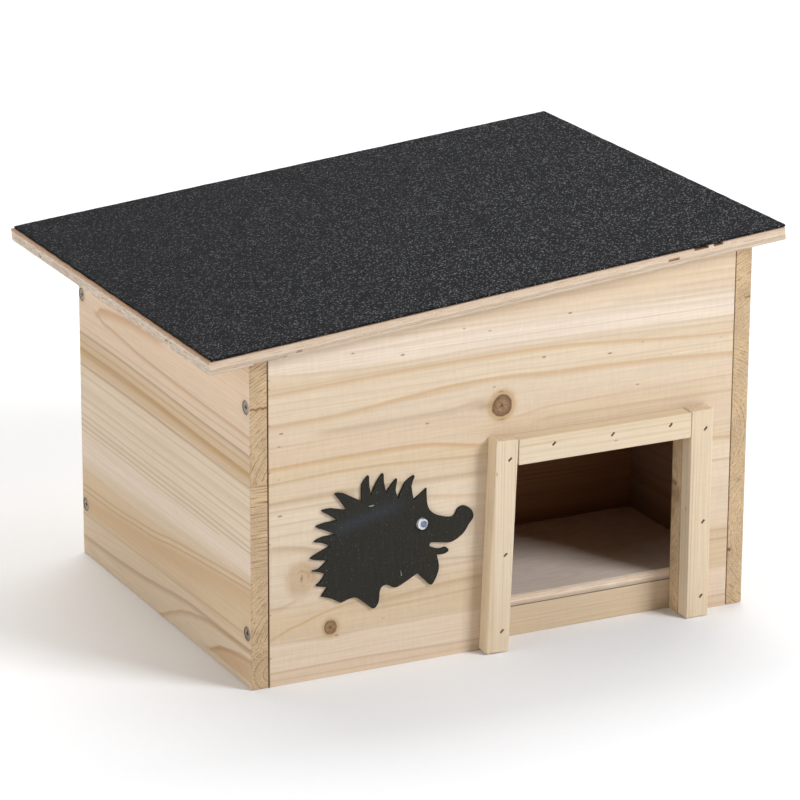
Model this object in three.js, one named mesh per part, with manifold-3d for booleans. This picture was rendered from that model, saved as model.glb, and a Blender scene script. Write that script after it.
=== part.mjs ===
// A hedgehog house of softwood boards with a felted lean-to roof that opens as a lid.
// Millimetres, +Z up. The front faces -Y and +X runs along the front towards the high side.
// The origin lies on the ground, in the middle of the box that holds the whole house.

import * as THREE from 'three';
import { mergeVertices } from 'three/addons/utils/BufferGeometryUtils.js';
import Module from 'manifold-3d';

const wasm = await Module();
wasm.setup();

// House box
const bodyWidth = 440;
const bodyDepth = 343;
const lowSideHeight = 268;
const highSideHeight = 307;
const wallThickness = 15;
const panelThickness = 15;
const jointGap = 0.3;

// Roof lid
const roofBoardThickness = 10;
const feltThickness = 2;
const lowEave = 37.5;
const highEave = 23.5;
const frontOverhang = 12;
const rearOverhang = 52;
const feltInsetLow = 2.5;
const feltInsetFront = 1;
const feltInsetRear = 1;
const feltPastHighEnd = 1;
const lidGap = 0.3;

// Doorway and its frame of battens
const doorwayWidth = 163;
const doorwayHeight = 155.5;
const doorwayToHighSide = 60;
const postWidth = 20;
const frameThickness = 14;
const postHeight = 177;
const leftPostLean = 2.1;
const leftPostReveal = 0.5;
const lintelHeight = 21;
const frameGroundGap = 0.4;

// Floor
const floorThickness = 10;
const floorBattenHeight = 25;
const floorBattenThickness = 18;
const floorGap = 0.5;

// Inner wall between the entrance run and the nest room
const innerWallThickness = 15;
const innerWallSetBack = 158;
const passageWidth = 125;
const innerWallHeadroom = 6;

// Wood screws of the boards
const screwHeadDiameter = 10;
const screwHeadDepth = 3;
const screwHeadRim = 0.5;
const screwShankDiameter = 4.5;
const screwLength = 45;
const screwTipLength = 6;
const screwSink = 0.3;
const screwAboveGround = 45;
const screwBelowTop = 39;
const innerScrewAboveFloor = 45;
const innerScrewBelowTop = 78;
const crossWidth = 1.1;
const crossLength = 5;
const crossDepth = 1.6;

// Brads of the door frame
const bradHeadLength = 3.2;
const bradHeadWidth = 1.3;
const bradHeadThickness = 1;
const bradShankLength = 1.6;
const bradShankWidth = 1;
const bradLength = 25;
const bradSink = 0.8;
const bradTurn = 45;
const bradOffCentre = 3;
const postBradAboveFoot = 18;
const postBradMiddle = 82;
const postBradBelowTop = 16;
const lintelBradFromLeft = 31;
const lintelBradFromRight = 19;

// Ornament cut from black sheet, with a loose-pupil eye
const ornamentWidth = 142;
const ornamentToPost = 6.5;
const ornamentBottom = 51.5;
const ornamentThickness = 2;
const eyeDiameter = 10;
const eyeHeight = 3.2;
const eyeBaseThickness = 0.8;
const eyeCoverWall = 0.5;
const eyeCoverSide = 0.6;
const pupilDiameter = 5.4;
const pupilThickness = 0.5;
const pupilShift = 1;
const stapleWidth = 4.3;
const stapleWire = 0.7;
const stapleLeg = 6;

// Butt hinges at the back of the lid
const hingeLength = 50;
const leafWidth = 24;
const leafThickness = 1.2;
const leafGap = 0.3;
const knuckleRadius = 3;
const knuckleGap = 0.5;
const pinRadius = 1.3;
const pinHeadRadius = 2;
const pinHeadLength = 0.8;
const hingeInset = 95;
const hingeScrewSpacing = 28;
const hingeScrewHeadDiameter = 5.6;
const hingeScrewHeadDepth = 1.5;
const hingeScrewHeadRim = 0.2;
const hingeScrewShankDiameter = 2.8;
const hingeScrewLength = 8.5;
const hingeScrewTipLength = 2;
const hingeCrossWidth = 0.7;
const hingeCrossLength = 2.8;
const hingeCrossDepth = 0.8;

// Play round every fastener and in every hinge bore
const clearance = 0.3;

// Worked out from the sizes above
const degree = Math.PI / 180;
const roofSlope = Math.atan2(highSideHeight - lowSideHeight, bodyWidth);
const floorTop = floorBattenHeight + floorThickness;
const doorwayRight = bodyWidth - doorwayToHighSide;
const doorwayLeft = doorwayRight - doorwayWidth;
const topAt = (x) => lowSideHeight + x * Math.tan(roofSlope);

const material = (color, roughness, metalness = 0) =>
  new THREE.MeshStandardMaterial({ color, roughness, metalness });
const softwood = material(0xe2c79c, 0.75);
const battenWood = material(0xe6d0aa, 0.75);
const plywood = material(0xdcc3a0, 0.7);
const roofingFelt = material(0x2b2c2e, 0.95);
const blackSheet = material(0x1b1a19, 0.95);
const zinc = material(0xa9a594, 0.4, 0.9);
const brightSteel = material(0xc4c6c8, 0.35, 0.95);
const darkSteel = material(0x4b3c30, 0.6, 0.6);
const whitePlastic = material(0xf1f1f1, 0.4);
const pupilPlastic = material(0x3c4656, 0.3);
const clearPlastic = material(0xe8eef2, 0.1);

// Solids for cuts and joins
function toSolid(geometry, place) {
  const bare = geometry.clone();
  for (const name of Object.keys(bare.attributes)) {
    if (name !== 'position') bare.deleteAttribute(name);
  }
  if (place) bare.applyMatrix4(place);
  const merged = mergeVertices(bare, 1e-4);
  return new wasm.Manifold(new wasm.Mesh({
    numProp: 3,
    vertProperties: new Float32Array(merged.attributes.position.array),
    triVerts: new Uint32Array(merged.index.array),
  }));
}

function toGeometry(solid) {
  const { vertProperties, triVerts } = solid.getMesh();
  const geometry = new THREE.BufferGeometry();
  geometry.setAttribute('position', new THREE.BufferAttribute(vertProperties, 3));
  geometry.setIndex(new THREE.BufferAttribute(triVerts, 1));
  geometry.computeVertexNormals();
  return geometry;
}

function join(first, ...others) {
  return toGeometry(others.reduce((sum, next) => sum.add(toSolid(next)), toSolid(first)));
}

function cut(body, ...tools) {
  return toGeometry(tools.reduce((rest, tool) => rest.subtract(toSolid(tool)), toSolid(body)));
}

// A box given by its lowest and highest corners
function block(low, high) {
  const size = high.map((value, axis) => value - low[axis]);
  const centre = high.map((value, axis) => (value + low[axis]) / 2);
  return new THREE.BoxGeometry(...size).translate(...centre);
}

// An outline drawn in X and Z, seen from the front, given depth along +Y from y = 0
function upright(outline, depth) {
  const settings = { depth, bevelEnabled: false, curveSegments: 4 };
  const geometry = new THREE.ExtrudeGeometry(outline, settings);
  return geometry.rotateX(Math.PI / 2).translate(0, depth, 0);
}

const polygon = (points) => new THREE.Shape(points.map(([x, z]) => new THREE.Vector2(x, z)));

// A round piece about the Y axis, from [radius, y] points that start and end on the axis
function turned(profile, segments) {
  const points = profile.map(([radius, y]) => new THREE.Vector2(radius, y));
  return new THREE.LatheGeometry(points, segments);
}

// A round bar along the X axis
const bar = (radius, from, to, segments) => turned(
  [[0, from], [radius, from], [radius, to], [0, to]], segments).rotateZ(-Math.PI / 2);

function piece(parent, name, geometry, finish, place = [0, 0, 0], turn = [0, 0, 0]) {
  const mesh = new THREE.Mesh(geometry, finish);
  mesh.name = name;
  mesh.position.set(...place);
  mesh.rotation.set(...turn);
  parent.add(mesh);
  return mesh;
}

// Takes the room that placed fasteners need out of the placed boards that they pass through
function bore(boards, fasteners) {
  house.updateMatrixWorld(true);
  for (const board of boards) {
    const toBoard = board.matrixWorld.clone().invert();
    let solid = toSolid(board.geometry);
    for (const fastener of fasteners) {
      const place = toBoard.clone().multiply(fastener.matrixWorld);
      solid = solid.subtract(toSolid(fastener.userData.room, place));
    }
    board.geometry = toGeometry(solid);
  }
}

// The parts are set out from the ground corner at the front of the low side.
// In the roof frame z = 0 is the lid's underside and x runs up the slope from the low side.
const house = new THREE.Group();
const setOut = new THREE.Group();
const roofFrame = new THREE.Group();
house.add(setOut);
setOut.add(roofFrame);
roofFrame.rotation.y = -roofSlope;
roofFrame.position.set(
  -lidGap * Math.sin(roofSlope), 0, lowSideHeight + lidGap * Math.cos(roofSlope));

// Roof board and felt
const boardLow = -lowEave / Math.cos(roofSlope);
const boardHigh = (bodyWidth + highEave) / Math.cos(roofSlope);
const boardFront = -frontOverhang;
const boardRear = bodyDepth + rearOverhang;
const roofBoard = piece(roofFrame, 'roof_board',
  block([boardLow, boardFront, 0], [boardHigh, boardRear, roofBoardThickness]), plywood);
const feltLow = boardLow + feltInsetLow;
const feltHigh = boardHigh + feltPastHighEnd;
const feltBase = roofBoardThickness + lidGap;
piece(roofFrame, 'roof_felt', block(
  [feltLow, boardFront + feltInsetFront, 0],
  [feltHigh, boardRear - feltInsetRear, feltThickness]), roofingFelt, [0, 0, feltBase]);

// The box that holds the whole house, whose bottom centre is the origin
const xOnRoof = (along, up) =>
  along * Math.cos(roofSlope) - (lidGap + up) * Math.sin(roofSlope);
const boxLeft = Math.min(
  xOnRoof(boardLow, roofBoardThickness), xOnRoof(feltLow, feltBase + feltThickness));
const boxRight = Math.max(xOnRoof(boardHigh, 0), xOnRoof(feltHigh, feltBase));
const boxFront = Math.min(boardFront, -frameThickness);
setOut.position.set(-(boxLeft + boxRight) / 2, -(boxFront + boardRear) / 2, 0);

// Side walls over the full depth, their tops cut to the slope
function sideWall(name, left, right) {
  const outline = [[left, 0], [right, 0], [right, topAt(right)], [left, topAt(left)]];
  return piece(setOut, name, upright(polygon(outline), bodyDepth), softwood);
}
const leftWall = sideWall('left_wall', 0, wallThickness);
const rightWall = sideWall('right_wall', bodyWidth - wallThickness, bodyWidth);

// Front and back panels between the side walls
const panelLeft = wallThickness + jointGap;
const panelRight = bodyWidth - wallThickness - jointGap;
const panelTop = [[panelRight, topAt(panelRight)], [panelLeft, topAt(panelLeft)]];
const doorwayEdge = [
  [doorwayLeft, 0], [doorwayLeft, doorwayHeight], [doorwayRight, doorwayHeight], [doorwayRight, 0],
];
const frontOutline = polygon([[panelLeft, 0], ...doorwayEdge, [panelRight, 0], ...panelTop]);
const backOutline = polygon([[panelLeft, 0], [panelRight, 0], ...panelTop]);
const frontPanel = piece(setOut, 'front_panel', upright(frontOutline, panelThickness), softwood);
const backPanel = piece(setOut, 'back_panel', upright(backOutline, panelThickness), softwood,
  [0, bodyDepth - panelThickness, 0]);

// Plywood floor on two battens that lie along the panels
const roomLeft = wallThickness + floorGap;
const roomRight = bodyWidth - wallThickness - floorGap;
const roomFront = panelThickness + floorGap;
const roomRear = bodyDepth - panelThickness - floorGap;
function floorBatten(name, front) {
  const size = block([roomLeft, 0, 0], [roomRight, floorBattenThickness, floorBattenHeight]);
  piece(setOut, name, size, battenWood, [0, front, 0]);
}
floorBatten('front_floor_batten', roomFront);
floorBatten('rear_floor_batten', roomRear - floorBattenThickness);
piece(setOut, 'floor_board',
  block([roomLeft, roomFront, 0], [roomRight, roomRear, floorThickness]), plywood,
  [0, 0, floorBattenHeight]);

// The inner wall stands on the floor, meets the high side and leaves a passage at the low side
const innerLeft = wallThickness + passageWidth;
const innerTopAt = (x) => topAt(x) - innerWallHeadroom;
const innerOutline = polygon([
  [innerLeft, floorTop], [panelRight, floorTop],
  [panelRight, innerTopAt(panelRight)], [innerLeft, innerTopAt(innerLeft)],
]);
const innerWall = piece(setOut, 'inner_wall', upright(innerOutline, innerWallThickness), softwood,
  [0, innerWallSetBack, 0]);

// Door frame: the left post leans on the corner of its foot, which lies by the doorway's edge
const lean = leftPostLean * degree;
const leftFootRight = doorwayLeft + leftPostReveal;
const leftPostFrame = new THREE.Group();
const rightPostFrame = new THREE.Group();
const lintelFrame = new THREE.Group();
setOut.add(leftPostFrame, rightPostFrame, lintelFrame);
leftPostFrame.position.set(leftFootRight, -frameThickness, frameGroundGap);
leftPostFrame.rotation.y = lean;
rightPostFrame.position.set(doorwayRight, -frameThickness, frameGroundGap);
const lintelTop = doorwayHeight + lintelHeight;
const lintelLeft = leftFootRight + lintelTop * Math.tan(lean) + jointGap;
const lintelLength = doorwayRight - jointGap - lintelLeft;
lintelFrame.position.set(lintelLeft, -frameThickness, doorwayHeight);
const leftPost = piece(leftPostFrame, 'left_door_post',
  block([-postWidth, 0, 0], [0, frameThickness, postHeight]), battenWood);
const rightPost = piece(rightPostFrame, 'right_door_post',
  block([0, 0, 0], [postWidth, frameThickness, postHeight]), battenWood);
const lintel = piece(lintelFrame, 'door_lintel',
  block([0, 0, 0], [lintelLength, frameThickness, lintelHeight]), battenWood);

// A countersunk screw that is driven along +Y, with its head's face at y = 0
function screwProfile(size, grow) {
  const head = size.headDiameter / 2 + grow;
  const shank = size.shankDiameter / 2 + grow;
  return [
    [0, -grow * 4], [head, -grow * 4], [head, size.headRim], [shank, size.headDepth + grow],
    [shank, size.length - size.tipLength + grow], [0, size.length + grow],
  ];
}
function screw(parent, name, size, finish, place, turn) {
  const body = turned(screwProfile(size, 0), 12);
  const { crossWidth: w, crossLength: l, crossDepth: d } = size;
  const recess = join(
    block([-l / 2, -1, -w / 2], [l / 2, d, w / 2]), block([-w / 2, -1, -l / 2], [w / 2, d, l / 2]));
  const mesh = piece(parent, name, cut(body, recess), finish, place, turn);
  mesh.userData.room = turned(screwProfile(size, clearance), 12);
  return mesh;
}
const boardScrew = {
  headDiameter: screwHeadDiameter, headDepth: screwHeadDepth, headRim: screwHeadRim,
  shankDiameter: screwShankDiameter, length: screwLength, tipLength: screwTipLength,
  crossWidth, crossLength, crossDepth,
};
const drivenRight = [0, 0, -Math.PI / 2];
const drivenLeft = [0, 0, Math.PI / 2];
const panelMiddles = { front: panelThickness / 2, rear: bodyDepth - panelThickness / 2 };
const panels = { front: frontPanel, rear: backPanel };
for (const [end, y] of Object.entries(panelMiddles)) {
  const sides = [
    ['left', leftWall, screwSink, drivenRight, lowSideHeight],
    ['right', rightWall, bodyWidth - screwSink, drivenLeft, highSideHeight],
  ];
  for (const [side, wall, x, turn, height] of sides) {
    const levels = { low: screwAboveGround, high: height - screwBelowTop };
    for (const [level, z] of Object.entries(levels)) {
      const name = `${side}_wall_screw_${end}_${level}`;
      const driven = screw(setOut, name, boardScrew, zinc, [x, y, z], turn);
      bore([wall, panels[end]], [driven]);
    }
  }
}

// Two more screws hold the inner wall's end through the high side
const innerMiddle = innerWallSetBack + innerWallThickness / 2;
const innerLevels = {
  low: floorTop + innerScrewAboveFloor,
  high: highSideHeight - innerScrewBelowTop,
};
for (const [level, z] of Object.entries(innerLevels)) {
  const place = [bodyWidth - screwSink, innerMiddle, z];
  const driven = screw(setOut, `inner_wall_screw_${level}`, boardScrew, zinc, place, drivenLeft);
  bore([rightWall, innerWall], [driven]);
}

// A flat-headed brad that is driven along +Y and turned on its axis
function bradShape(grow) {
  const half = (size) => size / 2 + grow;
  const head = block(
    [-half(bradHeadLength), -grow, -half(bradHeadWidth)],
    [half(bradHeadLength), bradHeadThickness + grow, half(bradHeadWidth)]);
  const shank = block(
    [-half(bradShankLength), bradHeadThickness / 2, -half(bradShankWidth)],
    [half(bradShankLength), bradLength + grow, half(bradShankWidth)]);
  return join(head, shank);
}
function brad(parent, name, x, z) {
  const mesh = piece(parent, name, bradShape(0), darkSteel, [x, bradSink, z],
    [0, -bradTurn * degree, 0]);
  const half = bradHeadLength / 2 + clearance;
  const side = bradHeadWidth / 2 + clearance;
  const mouth = block([-half, -2 * bradSink, -side], [half, bradHeadThickness, side]);
  mesh.userData.room = join(bradShape(clearance), mouth);
  return mesh;
}
const postLevels = {
  low: postBradAboveFoot, middle: postBradMiddle, high: postHeight - postBradBelowTop,
};
for (const [level, z] of Object.entries(postLevels)) {
  const inLeft = brad(leftPostFrame, `left_post_brad_${level}`, -postWidth / 2 + bradOffCentre, z);
  const inRight = brad(rightPostFrame, `right_post_brad_${level}`, postWidth / 2 + bradOffCentre, z);
  bore([leftPost, frontPanel], [inLeft]);
  bore([rightPost, frontPanel], [inRight]);
}
const lintelLast = lintelLength - lintelBradFromRight;
const lintelPlaces = {
  left: lintelBradFromLeft, middle: (lintelBradFromLeft + lintelLast) / 2, right: lintelLast,
};
for (const [name, x] of Object.entries(lintelPlaces)) {
  const driven = brad(lintelFrame, `lintel_brad_${name}`, x, lintelHeight / 2 + bradOffCentre);
  bore([lintel, frontPanel], [driven]);
}

// Ornament: a hedgehog looking right, drawn from its lower left corner on a grid of its own,
// which is scaled to the ornament's width. A spine is its tip and the notch after it, and a
// curve is its control point and its end.
const drawing = {
  tail: [19, 13],
  spineTip: 1.6,
  spines: [
    [[9.5, 17.5], [14.5, 24]], [[5.5, 27], [13, 34.5]],
    [[1.5, 39.5], [15.5, 43.5]], [[0, 50], [17, 55.5]],
    [[3.5, 63], [22, 65.5]], [[4.5, 75], [24, 78]],
    [[9.5, 88], [32, 85.5]], [[21.5, 100], [44, 91]],
    [[50.5, 111], [52, 95]], [[63.5, 112], [65.5, 94.5]],
    [[75, 105], [75.5, 88]], [[90.5, 106.5], [88.5, 85]],
    [[100.5, 92.5], [103, 76]],
  ],
  eye: [97, 64],
  forehead: [[108, 65], [125, 64.5]],
  nose: { centre: [134, 64.5], radius: 8.2 },
  snout: [[134, 45.5], [121, 44.5]],
  upperLip: [108, 46.5],
  mouth: [[[103, 46], [103.5, 43.5]], [[109, 40], [115, 40.5]]],
  jaw: { centre: [118, 38.5], radius: 2.6 },
  throat: [110, 36],
  paw: [[[114, 20], [107, 11.5]], [[100, 14], [92.5, 23]]],
  belly: [[[83, 13], [74, 14]], [[66, 20], [61, 17]]],
  hindFoot: [[[59.5, 10], [59, 4]], [[55, -3.5], [49.5, 3]], [[43, 11.5], [34, 11.5]]],
  rump: [26.5, 8.5],
};
function hedgehogOutline() {
  const shape = new THREE.Shape();
  const curve = ([control, end]) => shape.quadraticCurveTo(...control, ...end);
  shape.moveTo(...drawing.tail);
  let [fromX, fromZ] = drawing.tail;
  for (const [[tipX, tipZ], [toX, toZ]] of drawing.spines) {
    const middle = new THREE.Vector2((fromX + toX) / 2, (fromZ + toZ) / 2);
    const across = new THREE.Vector2(tipX, tipZ).sub(middle).normalize()
      .rotateAround(new THREE.Vector2(), Math.PI / 2).multiplyScalar(drawing.spineTip / 2);
    shape.lineTo(tipX + across.x, tipZ + across.y);
    shape.lineTo(tipX - across.x, tipZ - across.y);
    shape.lineTo(toX, toZ);
    [fromX, fromZ] = [toX, toZ];
  }
  curve(drawing.forehead);
  const { nose, jaw } = drawing;
  shape.absarc(...nose.centre, nose.radius, Math.PI * 0.97, -Math.PI * 0.2, true);
  curve(drawing.snout);
  shape.lineTo(...drawing.upperLip);
  drawing.mouth.forEach(curve);
  shape.absarc(...jaw.centre, jaw.radius, Math.PI * 0.75, -Math.PI * 0.6, true);
  shape.lineTo(...drawing.throat);
  [...drawing.paw, ...drawing.belly, ...drawing.hindFoot].forEach(curve);
  shape.lineTo(...drawing.rump);
  shape.closePath();
  return shape;
}
const drawnOutline = hedgehogOutline();
const drawnWidth = Math.max(...drawnOutline.getPoints().map((point) => point.x));
const ornamentScale = ornamentWidth / drawnWidth;
const onOrnament = (x, z) => [x * ornamentScale, 0, z * ornamentScale];
const ornamentFrame = new THREE.Group();
ornamentFrame.position.set(
  leftFootRight - postWidth - ornamentToPost - ornamentWidth, -ornamentThickness, ornamentBottom);
setOut.add(ornamentFrame);
const hedgehog = upright(drawnOutline, ornamentThickness).scale(ornamentScale, 1, ornamentScale);
const ornament = piece(ornamentFrame, 'hedgehog_ornament', hedgehog, blackSheet);

// Eye, turned about Y and facing the front: a white base, a loose pupil and a clear domed cover
const eyeFrame = new THREE.Group();
eyeFrame.position.set(...onOrnament(...drawing.eye));
eyeFrame.rotation.x = Math.PI;
ornamentFrame.add(eyeFrame);
const disc = (radius, low, high, segments) => turned(
  [[0, low], [radius, low], [radius, high], [0, high]], segments);
function dome(radius, from, top, steps) {
  const rise = top - from;
  const sphere = (radius * radius + rise * rise) / (2 * rise);
  const across = (step) => radius * Math.sin((step / steps) * Math.PI / 2);
  return Array.from({ length: steps + 1 }, (_, step) => [
    across(step), top - sphere + Math.sqrt(sphere * sphere - across(step) ** 2)]);
}
const eyeRadius = eyeDiameter / 2;
const coverFrom = eyeBaseThickness + eyeCoverSide;
const innerDome = dome(eyeRadius - eyeCoverWall, coverFrom, eyeHeight - eyeCoverWall, 4);
const outerDome = dome(eyeRadius, coverFrom, eyeHeight, 4);
const coverProfile = [
  ...outerDome, [eyeRadius, eyeBaseThickness],
  [eyeRadius - eyeCoverWall, eyeBaseThickness], ...innerDome.reverse(),
].reverse();
piece(eyeFrame, 'eye_base', disc(eyeRadius, 0, eyeBaseThickness, 20), whitePlastic);
piece(eyeFrame, 'eye_cover', turned(coverProfile, 20), clearPlastic);
piece(eyeFrame, 'eye_pupil', disc(pupilDiameter / 2, 0, pupilThickness, 16), pupilPlastic,
  [pupilShift, eyeBaseThickness, 0]);

// Fine staples through the ornament: a crown on its face and two legs along +Y
function stapleShape(grow) {
  const outer = stapleWidth / 2 + grow;
  const inner = stapleWidth / 2 - stapleWire - grow;
  const side = stapleWire / 2 + grow;
  const crown = block([-outer, -stapleWire, -side], [outer, grow ? -grow : 0, side]);
  const legs = [[-outer, -inner], [inner, outer]].map(([low, high]) => block(
    [low, -stapleWire, -side], [high, stapleLeg + grow, side]));
  return join(crown, ...legs);
}
const staples = { upper: { at: [52.5, 86], turn: 0 }, lower: { at: [78.5, 26], turn: 80 } };
for (const [name, { at, turn }] of Object.entries(staples)) {
  const mesh = piece(ornamentFrame, `ornament_staple_${name}`, stapleShape(0), brightSteel,
    onOrnament(...at), [0, turn * degree, 0]);
  mesh.userData.room = stapleShape(clearance);
  bore([ornament, frontPanel], [mesh]);
}

// Butt hinges, set out from the pin's axis: x along the pin, +Y away from the back panel
const leafScrew = {
  headDiameter: hingeScrewHeadDiameter, headDepth: hingeScrewHeadDepth,
  headRim: hingeScrewHeadRim, shankDiameter: hingeScrewShankDiameter,
  length: hingeScrewLength, tipLength: hingeScrewTipLength,
  crossWidth: hingeCrossWidth, crossLength: hingeCrossLength, crossDepth: hingeCrossDepth,
};
const hingeHalf = hingeLength / 2;
const middleKnuckleHalf = hingeLength / 6;
const axisBack = bodyDepth + leafGap + knuckleRadius;
const axisDown = leafGap + knuckleRadius;
const pinHole = bar(pinRadius + clearance, -hingeLength, hingeLength, 16);
const notchReach = knuckleRadius + knuckleGap;
function wallLeafShape() {
  const plate = block(
    [-hingeHalf, -knuckleRadius, -leafWidth], [hingeHalf, leafThickness - knuckleRadius, 0]);
  const gap = middleKnuckleHalf + knuckleGap / 2;
  const notch = block([-gap, -notchReach, -notchReach], [gap, notchReach, notchReach]);
  const knuckles = [[-hingeHalf, -gap], [gap, hingeHalf]].map(
    ([from, to]) => bar(knuckleRadius, from, to, 16));
  return cut(join(cut(plate, notch), ...knuckles), pinHole);
}
function roofLeafShape() {
  const plate = block(
    [-hingeHalf, 0, knuckleRadius - leafThickness], [hingeHalf, leafWidth, knuckleRadius]);
  const gap = middleKnuckleHalf - knuckleGap / 2;
  const notches = [[-hingeLength, -gap], [gap, hingeLength]].map(([from, to]) => block(
    [from, -notchReach, -notchReach], [to, notchReach, notchReach]));
  return cut(join(cut(plate, ...notches), bar(knuckleRadius, -gap, gap, 16)), pinHole);
}
const pinEnd = hingeHalf + knuckleGap / 2;
const pinShape = turned([
  [0, -pinEnd - pinHeadLength], [pinHeadRadius, -pinEnd - pinHeadLength], [pinHeadRadius, -pinEnd],
  [pinRadius, -pinEnd], [pinRadius, pinEnd], [pinHeadRadius, pinEnd],
  [pinHeadRadius, pinEnd + pinHeadLength], [0, pinEnd + pinHeadLength],
], 12).rotateZ(-Math.PI / 2);
const hingeSides = { low: hingeInset, high: bodyWidth / Math.cos(roofSlope) - hingeInset };
for (const [side, along] of Object.entries(hingeSides)) {
  const hinge = new THREE.Group();
  hinge.position.set(along, axisBack, -axisDown);
  roofFrame.add(hinge);
  const wallLeaf = piece(hinge, `${side}_hinge_wall_leaf`, wallLeafShape(), brightSteel);
  const roofLeaf = piece(hinge, `${side}_hinge_roof_leaf`, roofLeafShape(), brightSteel);
  piece(hinge, `${side}_hinge_pin`, pinShape, brightSteel);
  for (const [end, sign] of [['a', -1], ['b', 1]]) {
    const x = sign * hingeScrewSpacing / 2;
    const middle = (leafWidth + notchReach) / 2;
    const inWall = screw(hinge, `${side}_hinge_wall_screw_${end}`, leafScrew, brightSteel,
      [x, leafThickness - knuckleRadius, -middle], [Math.PI, 0, 0]);
    const inRoof = screw(hinge, `${side}_hinge_roof_screw_${end}`, leafScrew, brightSteel,
      [x, middle, knuckleRadius - leafThickness], [Math.PI / 2, 0, 0]);
    bore([wallLeaf, backPanel], [inWall]);
    bore([roofLeaf, roofBoard], [inRoof]);
  }
}

export default house;
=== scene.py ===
# %% [markdown]
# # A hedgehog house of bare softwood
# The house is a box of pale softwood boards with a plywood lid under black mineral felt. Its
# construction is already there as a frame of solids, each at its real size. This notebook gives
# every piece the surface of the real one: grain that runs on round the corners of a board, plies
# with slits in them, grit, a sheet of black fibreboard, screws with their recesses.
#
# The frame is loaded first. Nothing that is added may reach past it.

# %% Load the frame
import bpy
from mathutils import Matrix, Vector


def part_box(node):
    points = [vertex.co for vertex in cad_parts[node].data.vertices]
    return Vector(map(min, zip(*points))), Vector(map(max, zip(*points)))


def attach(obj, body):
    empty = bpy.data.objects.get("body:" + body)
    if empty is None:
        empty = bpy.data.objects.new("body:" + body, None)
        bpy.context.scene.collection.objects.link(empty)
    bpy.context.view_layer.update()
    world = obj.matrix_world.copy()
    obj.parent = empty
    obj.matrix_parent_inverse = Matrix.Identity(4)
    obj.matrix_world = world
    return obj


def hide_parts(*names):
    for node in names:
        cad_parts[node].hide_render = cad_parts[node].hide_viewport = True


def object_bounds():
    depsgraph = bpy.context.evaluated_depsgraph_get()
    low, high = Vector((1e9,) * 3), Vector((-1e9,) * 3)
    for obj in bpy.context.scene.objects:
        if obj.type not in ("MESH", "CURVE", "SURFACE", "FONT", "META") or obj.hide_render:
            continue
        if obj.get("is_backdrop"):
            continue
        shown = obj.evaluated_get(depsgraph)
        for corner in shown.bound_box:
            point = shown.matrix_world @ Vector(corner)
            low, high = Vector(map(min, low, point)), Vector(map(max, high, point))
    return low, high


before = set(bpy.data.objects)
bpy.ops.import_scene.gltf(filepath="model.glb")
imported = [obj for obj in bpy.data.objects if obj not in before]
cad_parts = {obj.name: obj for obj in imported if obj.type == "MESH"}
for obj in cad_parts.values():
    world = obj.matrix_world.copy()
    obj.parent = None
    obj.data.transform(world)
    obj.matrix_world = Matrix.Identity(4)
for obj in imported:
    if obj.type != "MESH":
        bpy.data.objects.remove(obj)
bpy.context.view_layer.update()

import math
import random

import bmesh
import bpy
from mathutils import Matrix, Vector, noise

MM = 0.001
print("Pieces in the frame:", len(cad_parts))

# %% [markdown]
# ## Where things are
# A joiner measures from a corner. Places on this house are given in millimetres from the ground
# corner at the front of the low side, with X along the front, Y into the depth and Z up. That
# corner is the lowest corner of the left wall, so it is read from the frame.

# %% Measure the boards
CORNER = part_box("left_wall")[0]


def node_box(name):
    """The lowest and highest corner of a frame piece, in mm from the corner of the house."""
    return tuple((corner - CORNER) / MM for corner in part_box(name))


wall_high = node_box("left_wall")[1]
far_high = node_box("right_wall")[1]
WALL = wall_high.x
DEPTH = wall_high.y
WIDTH = far_high.x
ROOF_SLOPE = math.atan2(far_high.z - wall_high.z, WIDTH - WALL)
print(f"House {WIDTH:.0f} x {DEPTH:.0f} mm, walls {WALL:.0f} mm thick")
print(f"The roof falls {math.degrees(ROOF_SLOPE):.1f} degrees to the low side")

# %% [markdown]
# ## The camera
# A product shot like this is made from a few metres away with a long lens, which keeps the
# uprights nearly parallel. The view looks down at the front and the low side. A long lens far
# off and a short lens close by can frame the house alike, but only the long one leaves the roof's
# far edge as wide as it should be.

# %% Set the camera
CAMERA_PLACE = (-1.4147, -2.8598, 1.2053)
CAMERA_AIM = (0.0072, -0.0042, 0.1503)
CAMERA_ROLL = math.radians(0.282)
CAMERA_LENS = 183.6

camera = bpy.data.objects.new("camera", bpy.data.cameras.new("camera"))
bpy.context.scene.collection.objects.link(camera)
sight = Vector(CAMERA_AIM) - Vector(CAMERA_PLACE)
level = sight.to_track_quat("-Z", "Y").to_matrix().to_4x4()
roll = Matrix.Rotation(CAMERA_ROLL, 4, "Z")
camera.matrix_world = Matrix.Translation(CAMERA_PLACE) @ level @ roll
camera.data.lens = CAMERA_LENS
camera.data.clip_end = 100
bpy.context.scene.camera = camera
print(f"The camera stands {sight.length:.2f} m from the middle of the house")

# %% [markdown]
# ## Sums in a shader
# A finish is a network of nodes. Drawing each Math node by hand hides what is being worked out,
# so a small class wraps a socket and lets Python's own signs add the nodes: `1 - mask` becomes a
# Subtract node. Vectors and colours go through Vector Math, because a Math node would turn them
# grey.

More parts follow.
